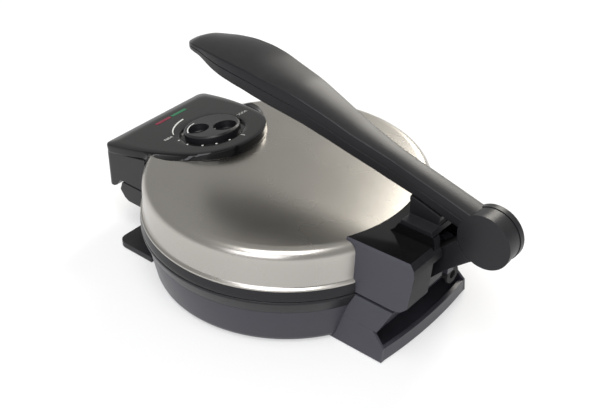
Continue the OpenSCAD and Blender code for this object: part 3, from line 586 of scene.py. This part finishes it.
base_rim = turned("base_flared_rim", rounded([
    (111.5, WALL_TOP, 0.2), (WALL_TOP_R, WALL_TOP, 0.5), (BODY_R, 44.6, 1.6), (BODY_R, SEAM_LOW, 0.7),
    (PLATE_HOLE_R, SEAM_LOW, 0.5), (PLATE_HOLE_R, 38, 0.2), (LEDGE_R, 38, 0.3), (LEDGE_R, 35.5, 0.3),
    (HOLE_OUT_R, 35.5, 0.4), (HOLE_OUT_R, 44.1, 0.4), (RIM_IN_R, 44.1, 0.6),
]), at)
stands_for(base_rim, "base_rim")

lid_ring = turned("lid_seat_ring", rounded([
    (PLATE_HOLE_R, SEAM_HIGH, 0.5), (BODY_R, SEAM_HIGH, 0.7), (BODY_R, 50, 1.2), (117.2, RING_TOP, 0.7),
    (WALL_TOP_R + 0.4, RING_TOP, 0.2), (RIM_IN_R, 49.7, 0.4), (HOLE_OUT_R, 49.7, 0.4),
    (HOLE_OUT_R, 58.1, 0.3), (LEDGE_R, 58.1, 0.3), (LEDGE_R, 55.6, 0.3), (PLATE_HOLE_R, 55.6, 0.2),
]), at)
stands_for(lid_ring, "lid_ring")
print("turned rings:", [len(o.data.polygons) for o in (base_shell, base_rim, lid_ring)])

# %% [markdown]
# The stainless lid
#
# The lid is one deep-drawn sheet: a flat disc with a crisp edge, a rounded shoulder, a
# crease, a slightly swelling skirt and a small rim that hooks over the plastic ring. It is
# turned from a profile with thickness. The panel sits in an opening, which is cut with a
# prism that has the panel's outline.

# %% Height of the lid's outside at a radius
DISC_EDGE_R = 105.0
DISC_Z = 88.3
DOME = 2.2
LID_WALL_R = 114.0
SHOULDER = [
    (DISC_EDGE_R, DISC_Z), (107.2, 88.05), (109, 87.55), (110.6, 86.75), (112, 85.6), (113.1, 84.1),
    (LID_WALL_R, 82.2),
]


def lid_height(radius):
    """Top of the lid in mm over the worktop; below the crease the wall is nearly upright."""
    if radius >= LID_WALL_R:
        return SHOULDER[-1][1]
    if radius <= DISC_EDGE_R:
        return DISC_Z + DOME * (1 - (radius / DISC_EDGE_R) ** 2)
    for (r0, z0), (r1, z1) in zip(SHOULDER, SHOULDER[1:]):
        if r0 <= radius <= r1:
            return z0 + (z1 - z0) * (radius - r0) / (r1 - r0)


# %% Profile of the lid sheet
disc_radii = [0, 12, 26, 40, 54, 68, 80, 90, 97, 101, 103.6, 104.6]
disc_line = [(r, lid_height(r)) for r in disc_radii]
wall_line = [(114.35, 80.6), (114.55, 77.5), (114.85, 72.0), (115.0, 66.0), (115.1, 61.0), (115.25, 59.0)]
lip_line = [(115.7, 58.3), (116.5, 57.75), (117.1, 57.3), (117.2, 56.8), (117.2, 56.05)]
SHEET = 1.0
LID_CREASE = 17.0
outside = disc_line + SHOULDER + wall_line + lip_line
inside = [(r - SHEET if r > 60 else r, z - SHEET) for r, z in outside[:-1]]
lip_r, lip_z = lip_line[-1]
lid_line = outside + [(lip_r - SHEET, lip_z)] + inside[::-1]
lid_cover = turned("lid_sheet", lid_line, at, 288, LID_CREASE)

# %% [markdown]
# The control panel's outline
#
# Seen from above, the panel is straight at the front and runs with two long arcs into a
# round inner end, like a broad tongue. It slopes up towards the lid's middle. Its outline
# is needed many times, with other widths, so a function walks it and always gives the same
# number of points. The panel has its own coordinates: x along the front edge, y up the
# slope and z off its face. The round end spreads most on the way down the skirt.

# %% Panel coordinates and outline
PANEL_FRONT = 151.4
PANEL_Z = 76.8
PANEL_TILT = math.radians(11)
DIAL_Y = 71.5
SKIRT_FOOT = 17.0
PANEL_HALF = 58.0
PANEL_CORNER = 6.0
PANEL_END_R = 47.5
PANEL_END_Y = 68.1
FRONT_SPREAD = 0.5
END_SPREAD = 10.0
END_SHIFT = 12.1


def on_panel(x, y, z):
    slope = y * math.cos(PANEL_TILT) - z * math.sin(PANEL_TILT)
    rise = y * math.sin(PANEL_TILT) + z * math.cos(PANEL_TILT)
    return at(x, slope - PANEL_FRONT, rise + PANEL_Z)


def panel_outline(part, grow):
    """Points at a share of the way from the top (0) to the foot (1) of the panel's skirt."""
    wide = PANEL_HALF + FRONT_SPREAD * part + grow
    end_r = PANEL_END_R + END_SPREAD * part + grow
    end_y = PANEL_END_Y - END_SHIFT * part
    span = end_y - PANEL_CORNER
    side_r = (span * span / (wide - end_r) + wide + end_r) / 2
    lean = math.atan2(span, side_r - wide)
    flat = wide - PANEL_CORNER
    half = [(flat * k / 8, -grow) for k in range(8)]
    for k in range(9):
        turn = math.radians(-90 + 90 * k / 8)
        up = PANEL_CORNER + PANEL_CORNER * math.sin(turn)
        half.append((flat + PANEL_CORNER * math.cos(turn), up - grow))
    for k in range(1, 25):
        turn = lean * k / 24
        half.append((wide - side_r + side_r * math.cos(turn), PANEL_CORNER + side_r * math.sin(turn)))
    for k in range(1, 25):
        turn = lean + (math.pi / 2 - lean) * k / 24
        half.append((end_r * math.cos(turn), end_y + end_r * math.sin(turn)))
    mirror = [(-x, y) for x, y in half[1:-1]]
    return half + mirror[::-1]


OUTLINE_SIZE = len(panel_outline(0, 0))
print("outline points:", OUTLINE_SIZE)

# %% [markdown]
# The foot of the panel's skirt
#
# The skirt ends on the lid, or over the handle in front of it. Near the lid's edge, where
# the panel's face is hardly higher than the lid, its foot also spreads over the shoulder, up
# to the width of the handle. For each point of the outline, small steps down the skirt find
# where it ends. The lid's opening then follows that foot, a little further in.

# %% How far down and out the skirt goes at each point
MOST_FLARE = 7.0
FLARE_RISES = (74, 102)
FLARE_FALLS = (112, 119)
FULL_FLARE = 0.08
OVER_HANDLE = 7.0
OVER_RING = 14.0
TOUCHING = 0.1
BARE_FOOT = panel_outline(0.3, 0.0)


def radius_of(spot):
    """Distance in mm from the plate axis."""
    return math.hypot(spot.x, spot.y - PLATE_Y) / MM


def eased_step(value, start, end):
    share = min(1.0, max(0.0, (value - start) / (end - start)))
    return share * share * (3 - 2 * share)


def foot_flare(index):
    """Extra spread of the skirt's foot in mm where it saddles over the lid's shoulder."""
    x, y = BARE_FOOT[index]
    radius = radius_of(on_panel(x, y, 0.0))
    return MOST_FLARE * eased_step(radius, *FLARE_RISES) * (1 - eased_step(radius, *FLARE_FALLS))


def skirt_line(index, part, grow):
    """Outline point of the skirt; its flare stops in line with the sides of the handle."""
    x, y = panel_outline(part, grow + flares[index] * min(1.0, part / FULL_FLARE))[index]
    side = max(abs(panel_outline(part, grow)[index][0]), PANEL_HALF + grow)
    return max(-side, min(side, x)), y


def skirt_point(index, part, grow):
    x, y = skirt_line(index, part, grow)
    return on_panel(x, y, -SKIRT_FOOT * part)


def skirt_depth(index):
    """Share of the full skirt at which the foot meets the lid or the handle."""
    for step in range(round(100 * FULL_FLARE), 101):
        part = step / 100
        spot = skirt_point(index, part, 0.0)
        radius = radius_of(spot)
        if radius < LID_WALL_R and spot.z / MM <= lid_height(radius) + TOUCHING:
            return part
        if radius >= BODY_R and SKIRT_FOOT * part >= OVER_HANDLE:
            return part
        if radius >= LID_WALL_R and SKIRT_FOOT * part >= OVER_RING:
            return part
    return 1.0


flares = [foot_flare(i) for i in range(OUTLINE_SIZE)]
depths = [skirt_depth(i) for i in range(OUTLINE_SIZE)]
print("skirt depth from", min(depths) * SKIRT_FOOT, "to", max(depths) * SKIRT_FOOT)

# %% Cut the panel's opening into the lid
FOOT_ON_LID = 1.6
OPENING_FRONT = 28.0
OPENING_SPAN = (-16.0, 30.0)
opening_rings = []
for height in OPENING_SPAN:
    ring = []
    for index, depth in enumerate(depths):
        x, y = skirt_line(index, depth, -FOOT_ON_LID)
        ring.append(on_panel(x, max(y, OPENING_FRONT), height))
    opening_rings.append(ring)
opening = object_from("opening_cutter", *rings_to_faces(opening_rings))
cut_away(lid_cover, opening)
lid_cover.data.set_sharp_from_angle(angle=math.radians(LID_CREASE))
stands_for(lid_cover, "lid_cover")
print("lid sheet faces:", len(lid_cover.data.polygons))

# %% [markdown]
# The control panel
#
# The panel is a glossy moulding: a level face with a small radius all round, and a skirt
# that spreads outwards down to the foot found above. Rings go from the dial's recess
# outwards over the face and down the skirt, which gives clean quads and lets each ring sit
# exactly where the light should break.

# %% Rings of the panel
RECESS_R = 27.5
RECESS_DEPTH = 4.0
RECESS_EDGE = 0.9
EDGE_RADIUS = 1.1
FACE_EDGE = panel_outline(0, -EDGE_RADIUS)
SKIRT_TOP = 0.03
SKIRT_START = 0.065
LEAST_FLARE = 0.3
ABOVE_LID = 0.15
PANEL_WALL = 2.5


def face_ring(share):
    """A ring between the recess (0) and the edge of the level face (1)."""
    ring = []
    for x, y in FACE_EDGE:
        reach = math.hypot(x, y - DIAL_Y)
        near = (RECESS_R + RECESS_EDGE) / reach
        scale = near + (1 - near) * share
        ring.append(on_panel(x * scale, DIAL_Y + (y - DIAL_Y) * scale, 0.0))
    return ring


def recess_ring(radius, height):
    ring = []
    for x, y in FACE_EDGE:
        scale = radius / math.hypot(x, y - DIAL_Y)
        ring.append(on_panel(x * scale, DIAL_Y + (y - DIAL_Y) * scale, height))
    return ring


def skirt_ring(share, grow, start=0.0):
    """Where the foot flares over the lid, its height is the lid's own, so the edge stays even."""
    ring = []
    for index, depth in enumerate(depths):
        spot = skirt_point(index, start + (depth - start) * share, grow)
        foot = skirt_point(index, depth, grow)
        radius = radius_of(foot)
        if flares[index] > LEAST_FLARE and radius < LID_WALL_R:
            top = skirt_point(index, SKIRT_TOP, grow - flares[index] * SKIRT_TOP / FULL_FLARE)
            foot.z = (lid_height(radius) + ABOVE_LID) * MM
            spot = top.lerp(foot, share)
        ring.append(spot)
    return ring


panel_rings = [
    recess_ring(3.0, -RECESS_DEPTH),
    recess_ring(RECESS_R - 0.5, -RECESS_DEPTH),
    recess_ring(RECESS_R, 0.5 - RECESS_DEPTH),
    recess_ring(RECESS_R, -0.7),
    recess_ring(RECESS_R + 0.25, -0.2),
    recess_ring(RECESS_R + RECESS_EDGE, 0.0),
]
panel_rings += [face_ring(share) for share in (0.2, 0.5, 0.8, 1.0)]
panel_rings.append([on_panel(x, y, -0.3) for x, y in panel_outline(0.0, -0.33)])
panel_rings.append([on_panel(x, y, -EDGE_RADIUS) for x, y in panel_outline(SKIRT_TOP, 0.0)])
panel_rings += [skirt_ring(share, 0.0, SKIRT_START) for share in (0.15, 0.4, 0.7, 0.93)]
panel_rings += [skirt_ring(1.0, -0.3), skirt_ring(1.0, -2.4), skirt_ring(0.6, -PANEL_WALL)]
panel_rings.append([on_panel(x, y, -PANEL_WALL) for x, y in panel_outline(0, -2.6)])
control_panel = object_from("panel_moulding", *rings_to_faces(panel_rings), 40.0)
stands_for(control_panel, "control_panel")
print("panel faces:", len(control_panel.data.polygons))

# %% [markdown]
# Marks round the dial
#
# The scale is printed in white: a rising arc, dots, a dash and the two end words. Thin
# plates of paint, a few hundredths of a millimetre proud of the face, read as print and
# can't flicker against the face below.

# %% Printed marks
PAINT = 0.06
DOT_RING = 29.6
DOT_R = 0.9
DOT_TURNS = (-25, 1, 29, 51, 73)
DASH_END = 34.2


def paint_strip(height, spots):
    """A closed thin plate from points round the dial's centre."""
    top = [on_panel(x, DIAL_Y + y, height) for x, y in spots]
    low = [on_panel(x, DIAL_Y + y, height - PAINT) for x, y in spots]
    return rings_to_faces([low, top])


def arc_spots(start_radius, end_radius, start, end, wide_start, wide_end, steps=24):
    """A curved stroke whose radius and width change along the way; angles are in degrees."""
    outer = []
    inner = []
    for k in range(steps + 1):
        t = k / steps
        turn = math.radians(start + (end - start) * t)
        half = (wide_start + (wide_end - wide_start) * t) / 2
        radius = start_radius + (end_radius - start_radius) * t
        outer.append(((radius + half) * math.cos(turn), (radius + half) * math.sin(turn)))
        inner.append(((radius - half) * math.cos(turn), (radius - half) * math.sin(turn)))
    return outer + inner[::-1]


def disc_spots(x, y, radius, steps=14):
    turns = [2 * math.pi * k / steps for k in range(steps)]
    return [(x + radius * math.cos(turn), y + radius * math.sin(turn)) for turn in turns]


def joined_mesh(name, parts):
    points = []
    faces = []
    for part_points, part_faces in parts:
        shift = len(points)
        points += part_points
        faces += [tuple(i + shift for i in face) for face in part_faces]
    return object_from(name, points, faces, 20.0)


rising = arc_spots(start_radius=32.6, end_radius=42.4, start=-51, end=-99, wide_start=0.8, wide_end=2.1)
marks = [paint_strip(PAINT, rising)]
for degrees in DOT_TURNS:
    turn = math.radians(degrees)
    marks.append(paint_strip(PAINT, disc_spots(DOT_RING * math.cos(turn), DOT_RING * math.sin(turn), DOT_R)))
dash = [(-3.65, DOT_RING), (-2.75, DOT_RING), (-2.95, DASH_END), (-3.85, DASH_END)]
marks.append(paint_strip(PAINT, dash))
scale_marks = joined_mesh("dial_scale_print", marks)
print_on(scale_marks, "control_panel")

# %% The two end words
WORD_SIZE = 4.7


def printed_word(name, word, x, y):
    """A word lying on the panel, centred at a point that is counted from the dial's centre."""
    curve = bpy.data.curves.new(name, "FONT")
    curve.body = word
    curve.size = WORD_SIZE * MM
    curve.extrude = PAINT / 2 * MM
    curve.align_x = "CENTER"
    curve.align_y = "CENTER"
    curve.resolution_u = 3
    text = bpy.data.objects.new(name + "_outline", curve)
    bpy.context.scene.collection.objects.link(text)
    graph = bpy.context.evaluated_depsgraph_get()
    mesh = bpy.data.meshes.new_from_object(text.evaluated_get(graph))
    bpy.data.objects.remove(text)
    axis_x = (on_panel(1, 0, 0) - on_panel(0, 0, 0)).normalized()
    axis_y = (on_panel(0, 1, 0) - on_panel(0, 0, 0)).normalized()
    stand = Matrix((axis_x, axis_y, axis_x.cross(axis_y))).transposed().to_4x4()
    stand.translation = on_panel(x, DIAL_Y + y, PAINT / 2)
    mesh.transform(stand)
    piece = bpy.data.objects.new(name, mesh)
    bpy.context.scene.collection.objects.link(piece)
    print_on(piece, "control_panel")


printed_word("low_end_word", "MIN", 27.9, -24.4)
printed_word("high_end_word", "MAX", -36.8, -0.9)

# %% [markdown]
# The dial
#
# The dial is a flat disc with a bevelled edge and two deep round finger scoops. The bar
# left between the scoops is what the fingers turn. It is turned first, then the scoops are
# cut with two cutters that have rounded floors, and the cut edges get a small radius.

# %% Dial with two scoops
KNOB_R = 23.5
KNOB_TOP = 4.4
KNOB_LOW = -3.2
KNOB_TURN = math.radians(39.5)
BEVEL_START = 3.0
SCOOP_SHIFT = 3.4
SCOOP_APART = 11.4
ABOVE_KNOB = 9.0


def on_knob(x, y, z):
    across = x * math.cos(KNOB_TURN) - y * math.sin(KNOB_TURN)
    along = x * math.sin(KNOB_TURN) + y * math.cos(KNOB_TURN)
    return on_panel(across, DIAL_Y + along, z)


knob = turned("dial_disc", rounded([
    (0, KNOB_LOW, 0), (KNOB_R - 0.9, KNOB_LOW, 0.3), (KNOB_R, KNOB_LOW + 0.8, 0.3),
    (KNOB_R, BEVEL_START, 0.8), (KNOB_R - 1.4, KNOB_TOP, 0.5), (0, KNOB_TOP, 0),
]), on_knob, 160, 30.0)
scoop_line = rounded([
    (0, -1.8, 0), (8.8, -2.4, 1.6), (9.7, BEVEL_START, 0.5), (9.9, ABOVE_KNOB, 0), (0, ABOVE_KNOB, 0),
])


def scoop_cutter(side):
    """The cutter for the scoop on one side of the dial's bar."""
    def in_scoop(x, y, z):
        return on_knob(x + SCOOP_SHIFT, y + side * SCOOP_APART, z)

    return turned("scoop_cutter", scoop_line, in_scoop, 72, 30.0)


for side in (-1, 1):
    cut_away(knob, scoop_cutter(side))
add_radius(knob, 0.35, 40.0, 2)
stands_for(knob, "knob")

# %% Pointer of the dial
# A white line near the dial's edge, beside the lower scoop.
line = arc_spots(start_radius=17.6, end_radius=21.0, start=-80, end=-21, wide_start=0.9, wide_end=1.1)
pointer_line = object_from("dial_pointer_print", *paint_strip(KNOB_TOP + PAINT, line))
print_on(pointer_line, "knob")
print("dial faces:", len(knob.data.polygons))

# %% [markdown]
# The lever
#
# The lever is a long handle that swells into a leaf shape over the lid and thins towards
# its barrel. Its ridge, underside and width along the length were read from the photo. Two
# lofted shells make it: the top one is crowned with a crisp edge, and the lower one rounds
# in below. A fine joint shows between them. Lofting from a few smooth curves is better
# than pushing a box about, because every station is exact and the highlights stay calm.

# %% Curves of the lever
TIP_Y = -97.0
LEVER_END_Y = 178.0
# The ridge, the underside and the half width: each pair is a place along y and a value.
RIDGE = [
    (-97, 168), (-93.6, 171.6), (-86, 174.4), (-76.5, 176), (-63, 178), (-49, 178.6), (-33, 178),
    (-18, 176.4), (21, 168.6), (45, 160.6), (70, 151.6), (90, 145.6), (112, 139.8), (147, 131), (180, 122.4),
]
UNDER = [
    (-97, 166.4), (-92, 165), (-84, 165.4), (-76.5, 165), (-58.5, 160), (-27, 155.6), (-8.5, 151),
    (27, 143.5), (62, 133.4), (101, 122.6), (128, 117.4), (153, 110), (166, 107), (180, 102.6),
]
GIRTH = [
    (-97, 2), (-96.1, 5.5), (-93.6, 9), (-89.3, 12.2), (-84, 14.2), (-76.5, 16), (-63, 19.6), (-49, 22),
    (-33, 22.8), (-18, 22), (0, 20), (21, 17.6), (50, 14.1), (70, 12.3), (88, 10.4), (104, 9.3), (180, 9.3),
]


def look_up(y, table):
    if y <= table[0][0]:
        return table[0][1]
    for (y0, v0), (y1, v1) in zip(table, table[1:]):
        if y <= y1:
            return v0 + (v1 - v0) * (y - y0) / (y1 - y0)
    return table[-1][1]


def eased(y, table, ease=6.0):
    """The mean of five neighbours, which rounds the corners of the table."""
    total = 0.0
    for step, weight in ((-1.0, 1), (-0.5, 2), (0.0, 3), (0.5, 2), (1.0, 1)):
        total += weight * look_up(y + step * ease, table)
    return total / 9


# %% Sections of the two shells
TIP_LENGTH = 4.0
HALF_JOINT = 0.15
JOINT_EDGE = 0.5
JOINT_DEPTH = 0.3
INSIDE = 0.05
LEVER_CREASE = 24.0


def shell_section(y, upper):
    """Points across one shell at a station, from one seam round to the other."""
    near_tip = min(1.0, max(0.0, (y - TIP_Y) / TIP_LENGTH))
    wide = max(0.6, min(eased(y, GIRTH, 3.0), look_up(y, GIRTH)) - INSIDE)
    ridge = min(eased(y, RIDGE), look_up(y, RIDGE)) - INSIDE
    under = max(eased(y, UNDER), look_up(y, UNDER)) + INSIDE
    middle = (ridge + under) / 2
    if upper:
        crown = min(0.13 * wide, 2.6) * near_tip
        edge = ridge - crown
        radius = min(1.3, 0.35 * wide, 0.45 * (edge - middle))
        flat = [(wide - JOINT_DEPTH, middle + HALF_JOINT), (wide, middle + JOINT_EDGE), (wide, edge - radius)]
        for k in range(1, 5):
            turn = math.pi / 2 * k / 4
            flat.append((wide - radius + radius * math.cos(turn), edge - radius + radius * math.sin(turn)))
        for k in range(1, 9):
            t = 1 - k / 8
            across = (wide - radius) * t
            flat.append((across, edge + crown * (1 - t * t)))
    else:
        belly = middle - under
        radius = min(4.0, 0.4 * wide, 0.55 * belly)
        flat = [(wide - JOINT_DEPTH, middle - HALF_JOINT), (wide, middle - JOINT_EDGE)]
        flat.append((wide - 0.02 * belly, under + radius))
        for k in range(1, 6):
            turn = math.pi / 2 * k / 5
            flat.append((wide - radius + radius * math.cos(turn), under + radius - radius * math.sin(turn)))
        for k in range(1, 5):
            flat.append(((wide - radius) * (1 - k / 4), under))
    whole = flat + [(-x, z) for x, z in flat[-2::-1]]
    return [at(x, y, z) for x, z in whole]


def lever_shell(name, upper):
    """A loft along the lever, whose stations are closest at the tip, where it curves most."""
    stations = []
    y = TIP_Y + 0.4
    while y < LEVER_END_Y:
        stations.append(y)
        y += 0.8 if y < TIP_Y + 12 else (2.0 if y < TIP_Y + 32 else 4.0)
    stations.append(LEVER_END_Y)
    rings = [shell_section(y, upper) for y in stations]
    return object_from(name, *rings_to_faces(rings), LEVER_CREASE)


# %% Fit the shells round the barrel
BARREL_Y = 184.3
BARREL_Z = 106.1
BARREL_R = 21.3
INTO_BARREL = 0.6
CUTTER_HALF = 40.0


def barrel_cutter():
    """A cylinder across the lever; the shells reach a little into the barrel's own discs."""
    radius = BARREL_R - INTO_BARREL
    turns = [2 * math.pi * k / 96 for k in range(96)]
    rings = []
    for x in (-CUTTER_HALF, CUTTER_HALF):
        rings.append([at(x, BARREL_Y + radius * math.cos(t), BARREL_Z + radius * math.sin(t)) for t in turns])
    return object_from("barrel_cutter", *rings_to_faces(rings))


def fitted_shell(name, upper, node):
    shell = lever_shell(name, upper)
    cut_away(shell, barrel_cutter())
    shell.data.set_sharp_from_angle(angle=math.radians(LEVER_CREASE))
    stands_for(shell, node)
    return shell


lever_top = fitted_shell("lever_crowned_top", True, "lever_top_shell")
lever_under = fitted_shell("lever_rounded_under", False, "lever_bottom_shell")
print("lever faces:", len(lever_top.data.polygons), len(lever_under.data.polygons))

# %% [markdown]
# Blocky mouldings
#
# The handle under the panel, the feet, the hinge block, the hood and the lever's bracket
# are plain mouldings whose CAD shape is right. What the CAD lacks is the small radius of
# their edges, which is what makes a render look like a real moulding. Each gets one that
# suits its size, and keeps its exact place.

# %% Lever core
# Its edge shows in the slot of the barrel, so it takes the colour of the lever's shells.
core = frame["nodes"]["lever_core"].data
core.materials.clear()
core.materials.append(finishes["lever_plastic"])

# %% Mouldings with edge radii
EDGE_RADII = {
    "front_handle": 1.2, "front_ledge": 0.8, "front_foot": 0.8, "rear_foot": 0.8, "rear_block": 0.9,
    "hinge_hood": 0.9, "lever_bracket": 0.8, "barrel_caps": 0.5, "press_pad": 0.6, "rubber_feet": 0.5,
    "power_lens": 0.15, "ready_lens": 0.15, "cord_gland": 0.3,
}
for node, radius in EDGE_RADII.items():
    moulded = soften(node, radius)
    if node == "hinge_hood":
        hood = moulded
print("softened:", len(EDGE_RADII))

# %% The hood's own faces
# Its side walls have the grain of the base. Its rear faces are plain and dark: partly the dark rear plastic,
# partly painted shade of the notch under the hood's overhang.
HOOD_SIDE = 43.5
hood.data.materials.append(finishes["base_plastic"])
hood.data.materials.append(finishes["rear_plastic"])
for face in hood.data.polygons:
    if abs(face.center.x) > HOOD_SIDE * MM and abs(face.normal.x) > 0.8:
        face.material_index = 1
    # Rear faces: the dull dark finish, partly painted shade of the notch under the overhang.
    elif face.normal.y > 0.5:
        face.material_index = 2

# %% [markdown]
# The studio
#
# The machine stands on a white sweep. Large soft lamps give the broad, calm reflections
# that show metal and gloss plastic well. The world is white near the horizon and greyer
# overhead, so that the metal disc, which mirrors what is above, keeps its depth. The floor
# adds its own white only to what the camera, mirrors and glass see, so the object itself
# is lit at a plain level and its shadow stays.

# %% Which rays see the studio's own white
def studio_rays(tree):
    """1 for rays from the camera, and for those that mirrors and glass send on."""
    path = tree.nodes.new("ShaderNodeLightPath")
    either = add_node(tree, "ShaderNodeMath", operation="MAXIMUM")
    any_of_three = add_node(tree, "ShaderNodeMath", operation="MAXIMUM")
    join(
        tree,
        (path.outputs["Is Camera Ray"], either.inputs[0]),
        (path.outputs["Is Glossy Ray"], either.inputs[1]),
        (either.outputs[0], any_of_three.inputs[0]),
        (path.outputs["Is Transmission Ray"], any_of_three.inputs[1]),
    )
    return any_of_three.outputs[0]


# %% Floor
FLOOR_HALF = 6.0
OWN_WHITE = 0.48
floor_mesh = bpy.data.meshes.new("studio_floor")
corners = [(x * FLOOR_HALF, y * FLOOR_HALF, 0) for x, y in ((-1, -1), (1, -1), (1, 1), (-1, 1))]
floor_mesh.from_pydata(corners, [], [(0, 1, 2, 3)])
floor = bpy.data.objects.new("studio_floor", floor_mesh)
bpy.context.scene.collection.objects.link(floor)

# %% Floor paint
floor_paint = bpy.data.materials.new("floor_paint")
floor_paint.use_nodes = True
tree = floor_paint.node_tree
shader = tree.nodes["Principled BSDF"]
shader.inputs["Base Color"].default_value = (0.50, 0.50, 0.50, 1)
shader.inputs["Roughness"].default_value = 0.9
shader.inputs["Specular IOR Level"].default_value = 0.1
glow = add_node(tree, "ShaderNodeEmission", {"Color": (1, 1, 1, 1)})
own_white = add_node(tree, "ShaderNodeMath", {1: OWN_WHITE}, operation="MULTIPLY")
both_lights = tree.nodes.new("ShaderNodeAddShader")
join(
    tree,
    (studio_rays(tree), own_white.inputs[0]),
    (own_white.outputs[0], glow.inputs["Strength"]),
    (shader.outputs[0], both_lights.inputs[0]),
    (glow.outputs[0], both_lights.inputs[1]),
    (both_lights.outputs[0], tree.nodes["Material Output"].inputs["Surface"]),
)
floor_mesh.materials.append(floor_paint)

# %% World
HORIZON = (1.0, 1.0, 1.0, 1)
OVERHEAD = (0.46, 0.46, 0.45, 1)
FILL_LIGHT = (0.42, 0.42, 0.43, 1)
world = bpy.data.worlds.new("studio_air")
bpy.context.scene.world = world
world.use_nodes = True
tree = world.node_tree
background = tree.nodes["Background"]
background.inputs["Strength"].default_value = 1.0
spot = tree.nodes.new("ShaderNodeTexCoord")
split = tree.nodes.new("ShaderNodeSeparateXYZ")
height = add_node(tree, "ShaderNodeMapRange", {"From Min": -0.02, "From Max": 0.16})
dome = add_node(tree, "ShaderNodeMix", data_type="RGBA")
dome.inputs[6].default_value = HORIZON
dome.inputs[7].default_value = OVERHEAD
fill = add_node(tree, "ShaderNodeMix", data_type="RGBA")
fill.inputs[6].default_value = FILL_LIGHT
join(
    tree,
    (spot.outputs["Generated"], split.inputs[0]),
    (split.outputs["Z"], height.inputs["Value"]),
    (height.outputs["Result"], dome.inputs[0]),
    (studio_rays(tree), fill.inputs[0]),
    (dome.outputs[2], fill.inputs[7]),
    (fill.outputs[2], background.inputs["Color"]),
)

# %% Lamps
def soft_lamp(name, place, target, size, power, tint=(1, 1, 1)):
    """An area lamp at a place, aimed at a target, with sizes in metres and power in watts."""
    lamp = bpy.data.lights.new(name, "AREA")
    lamp.shape = "RECTANGLE"
    lamp.size = size[0]
    lamp.size_y = size[1]
    lamp.energy = power
    lamp.color = tint
    stand = bpy.data.objects.new(name, lamp)
    stand.location = place
    stand.rotation_euler = (Vector(target) - Vector(place)).to_track_quat("-Z", "Y").to_euler()
    bpy.context.scene.collection.objects.link(stand)


soft_lamp("overhead_lamp", (0.55, 0.32, 1.5), (0, 0, 0.05), (0.9, 0.9), 15)
soft_lamp("rear_left_lamp", (-1.26, -0.27, 0.98), (0, 0.03, 0.08), (0.55, 0.95), 15, (1.0, 0.96, 0.88))
soft_lamp("near_side_lamp", (1.3, 0.4, 0.8), (0, 0, 0.08), (0.9, 0.7), 7, (0.95, 0.95, 1.0))

# %% [markdown]
# The camera
#
# The camera stands where the photographer stood: behind the hinge and to the right, a
# little less than a metre away, looking down at about 34 degrees. The place came from
# fitting the ellipses of the lid and the base, so the render can be laid over the photo.

# %% Camera
RIGHT = Vector((-0.6361, 0.7716, 0.0))
UP = Vector((-0.4370, -0.3603, 0.8241))
BACK = Vector((0.6359, 0.5242, 0.5664))
ROLL = 0.00524
FOCAL = 64.7
SENSOR = 36.0
STAND = at(553.7, 475.7, 554.0)
camera_right = (RIGHT + UP * ROLL).normalized()
camera_up = (UP - RIGHT * ROLL).normalized()
lens = bpy.data.cameras.new("studio_camera")
lens.sensor_width = SENSOR
lens.lens = FOCAL
camera = bpy.data.objects.new("studio_camera", lens)
pose = Matrix((camera_right, camera_up, BACK)).transposed().to_4x4()
pose.translation = STAND
camera.matrix_world = pose
bpy.context.scene.collection.objects.link(camera)
bpy.context.scene.camera = camera
bpy.context.scene.view_settings.view_transform = "Standard"
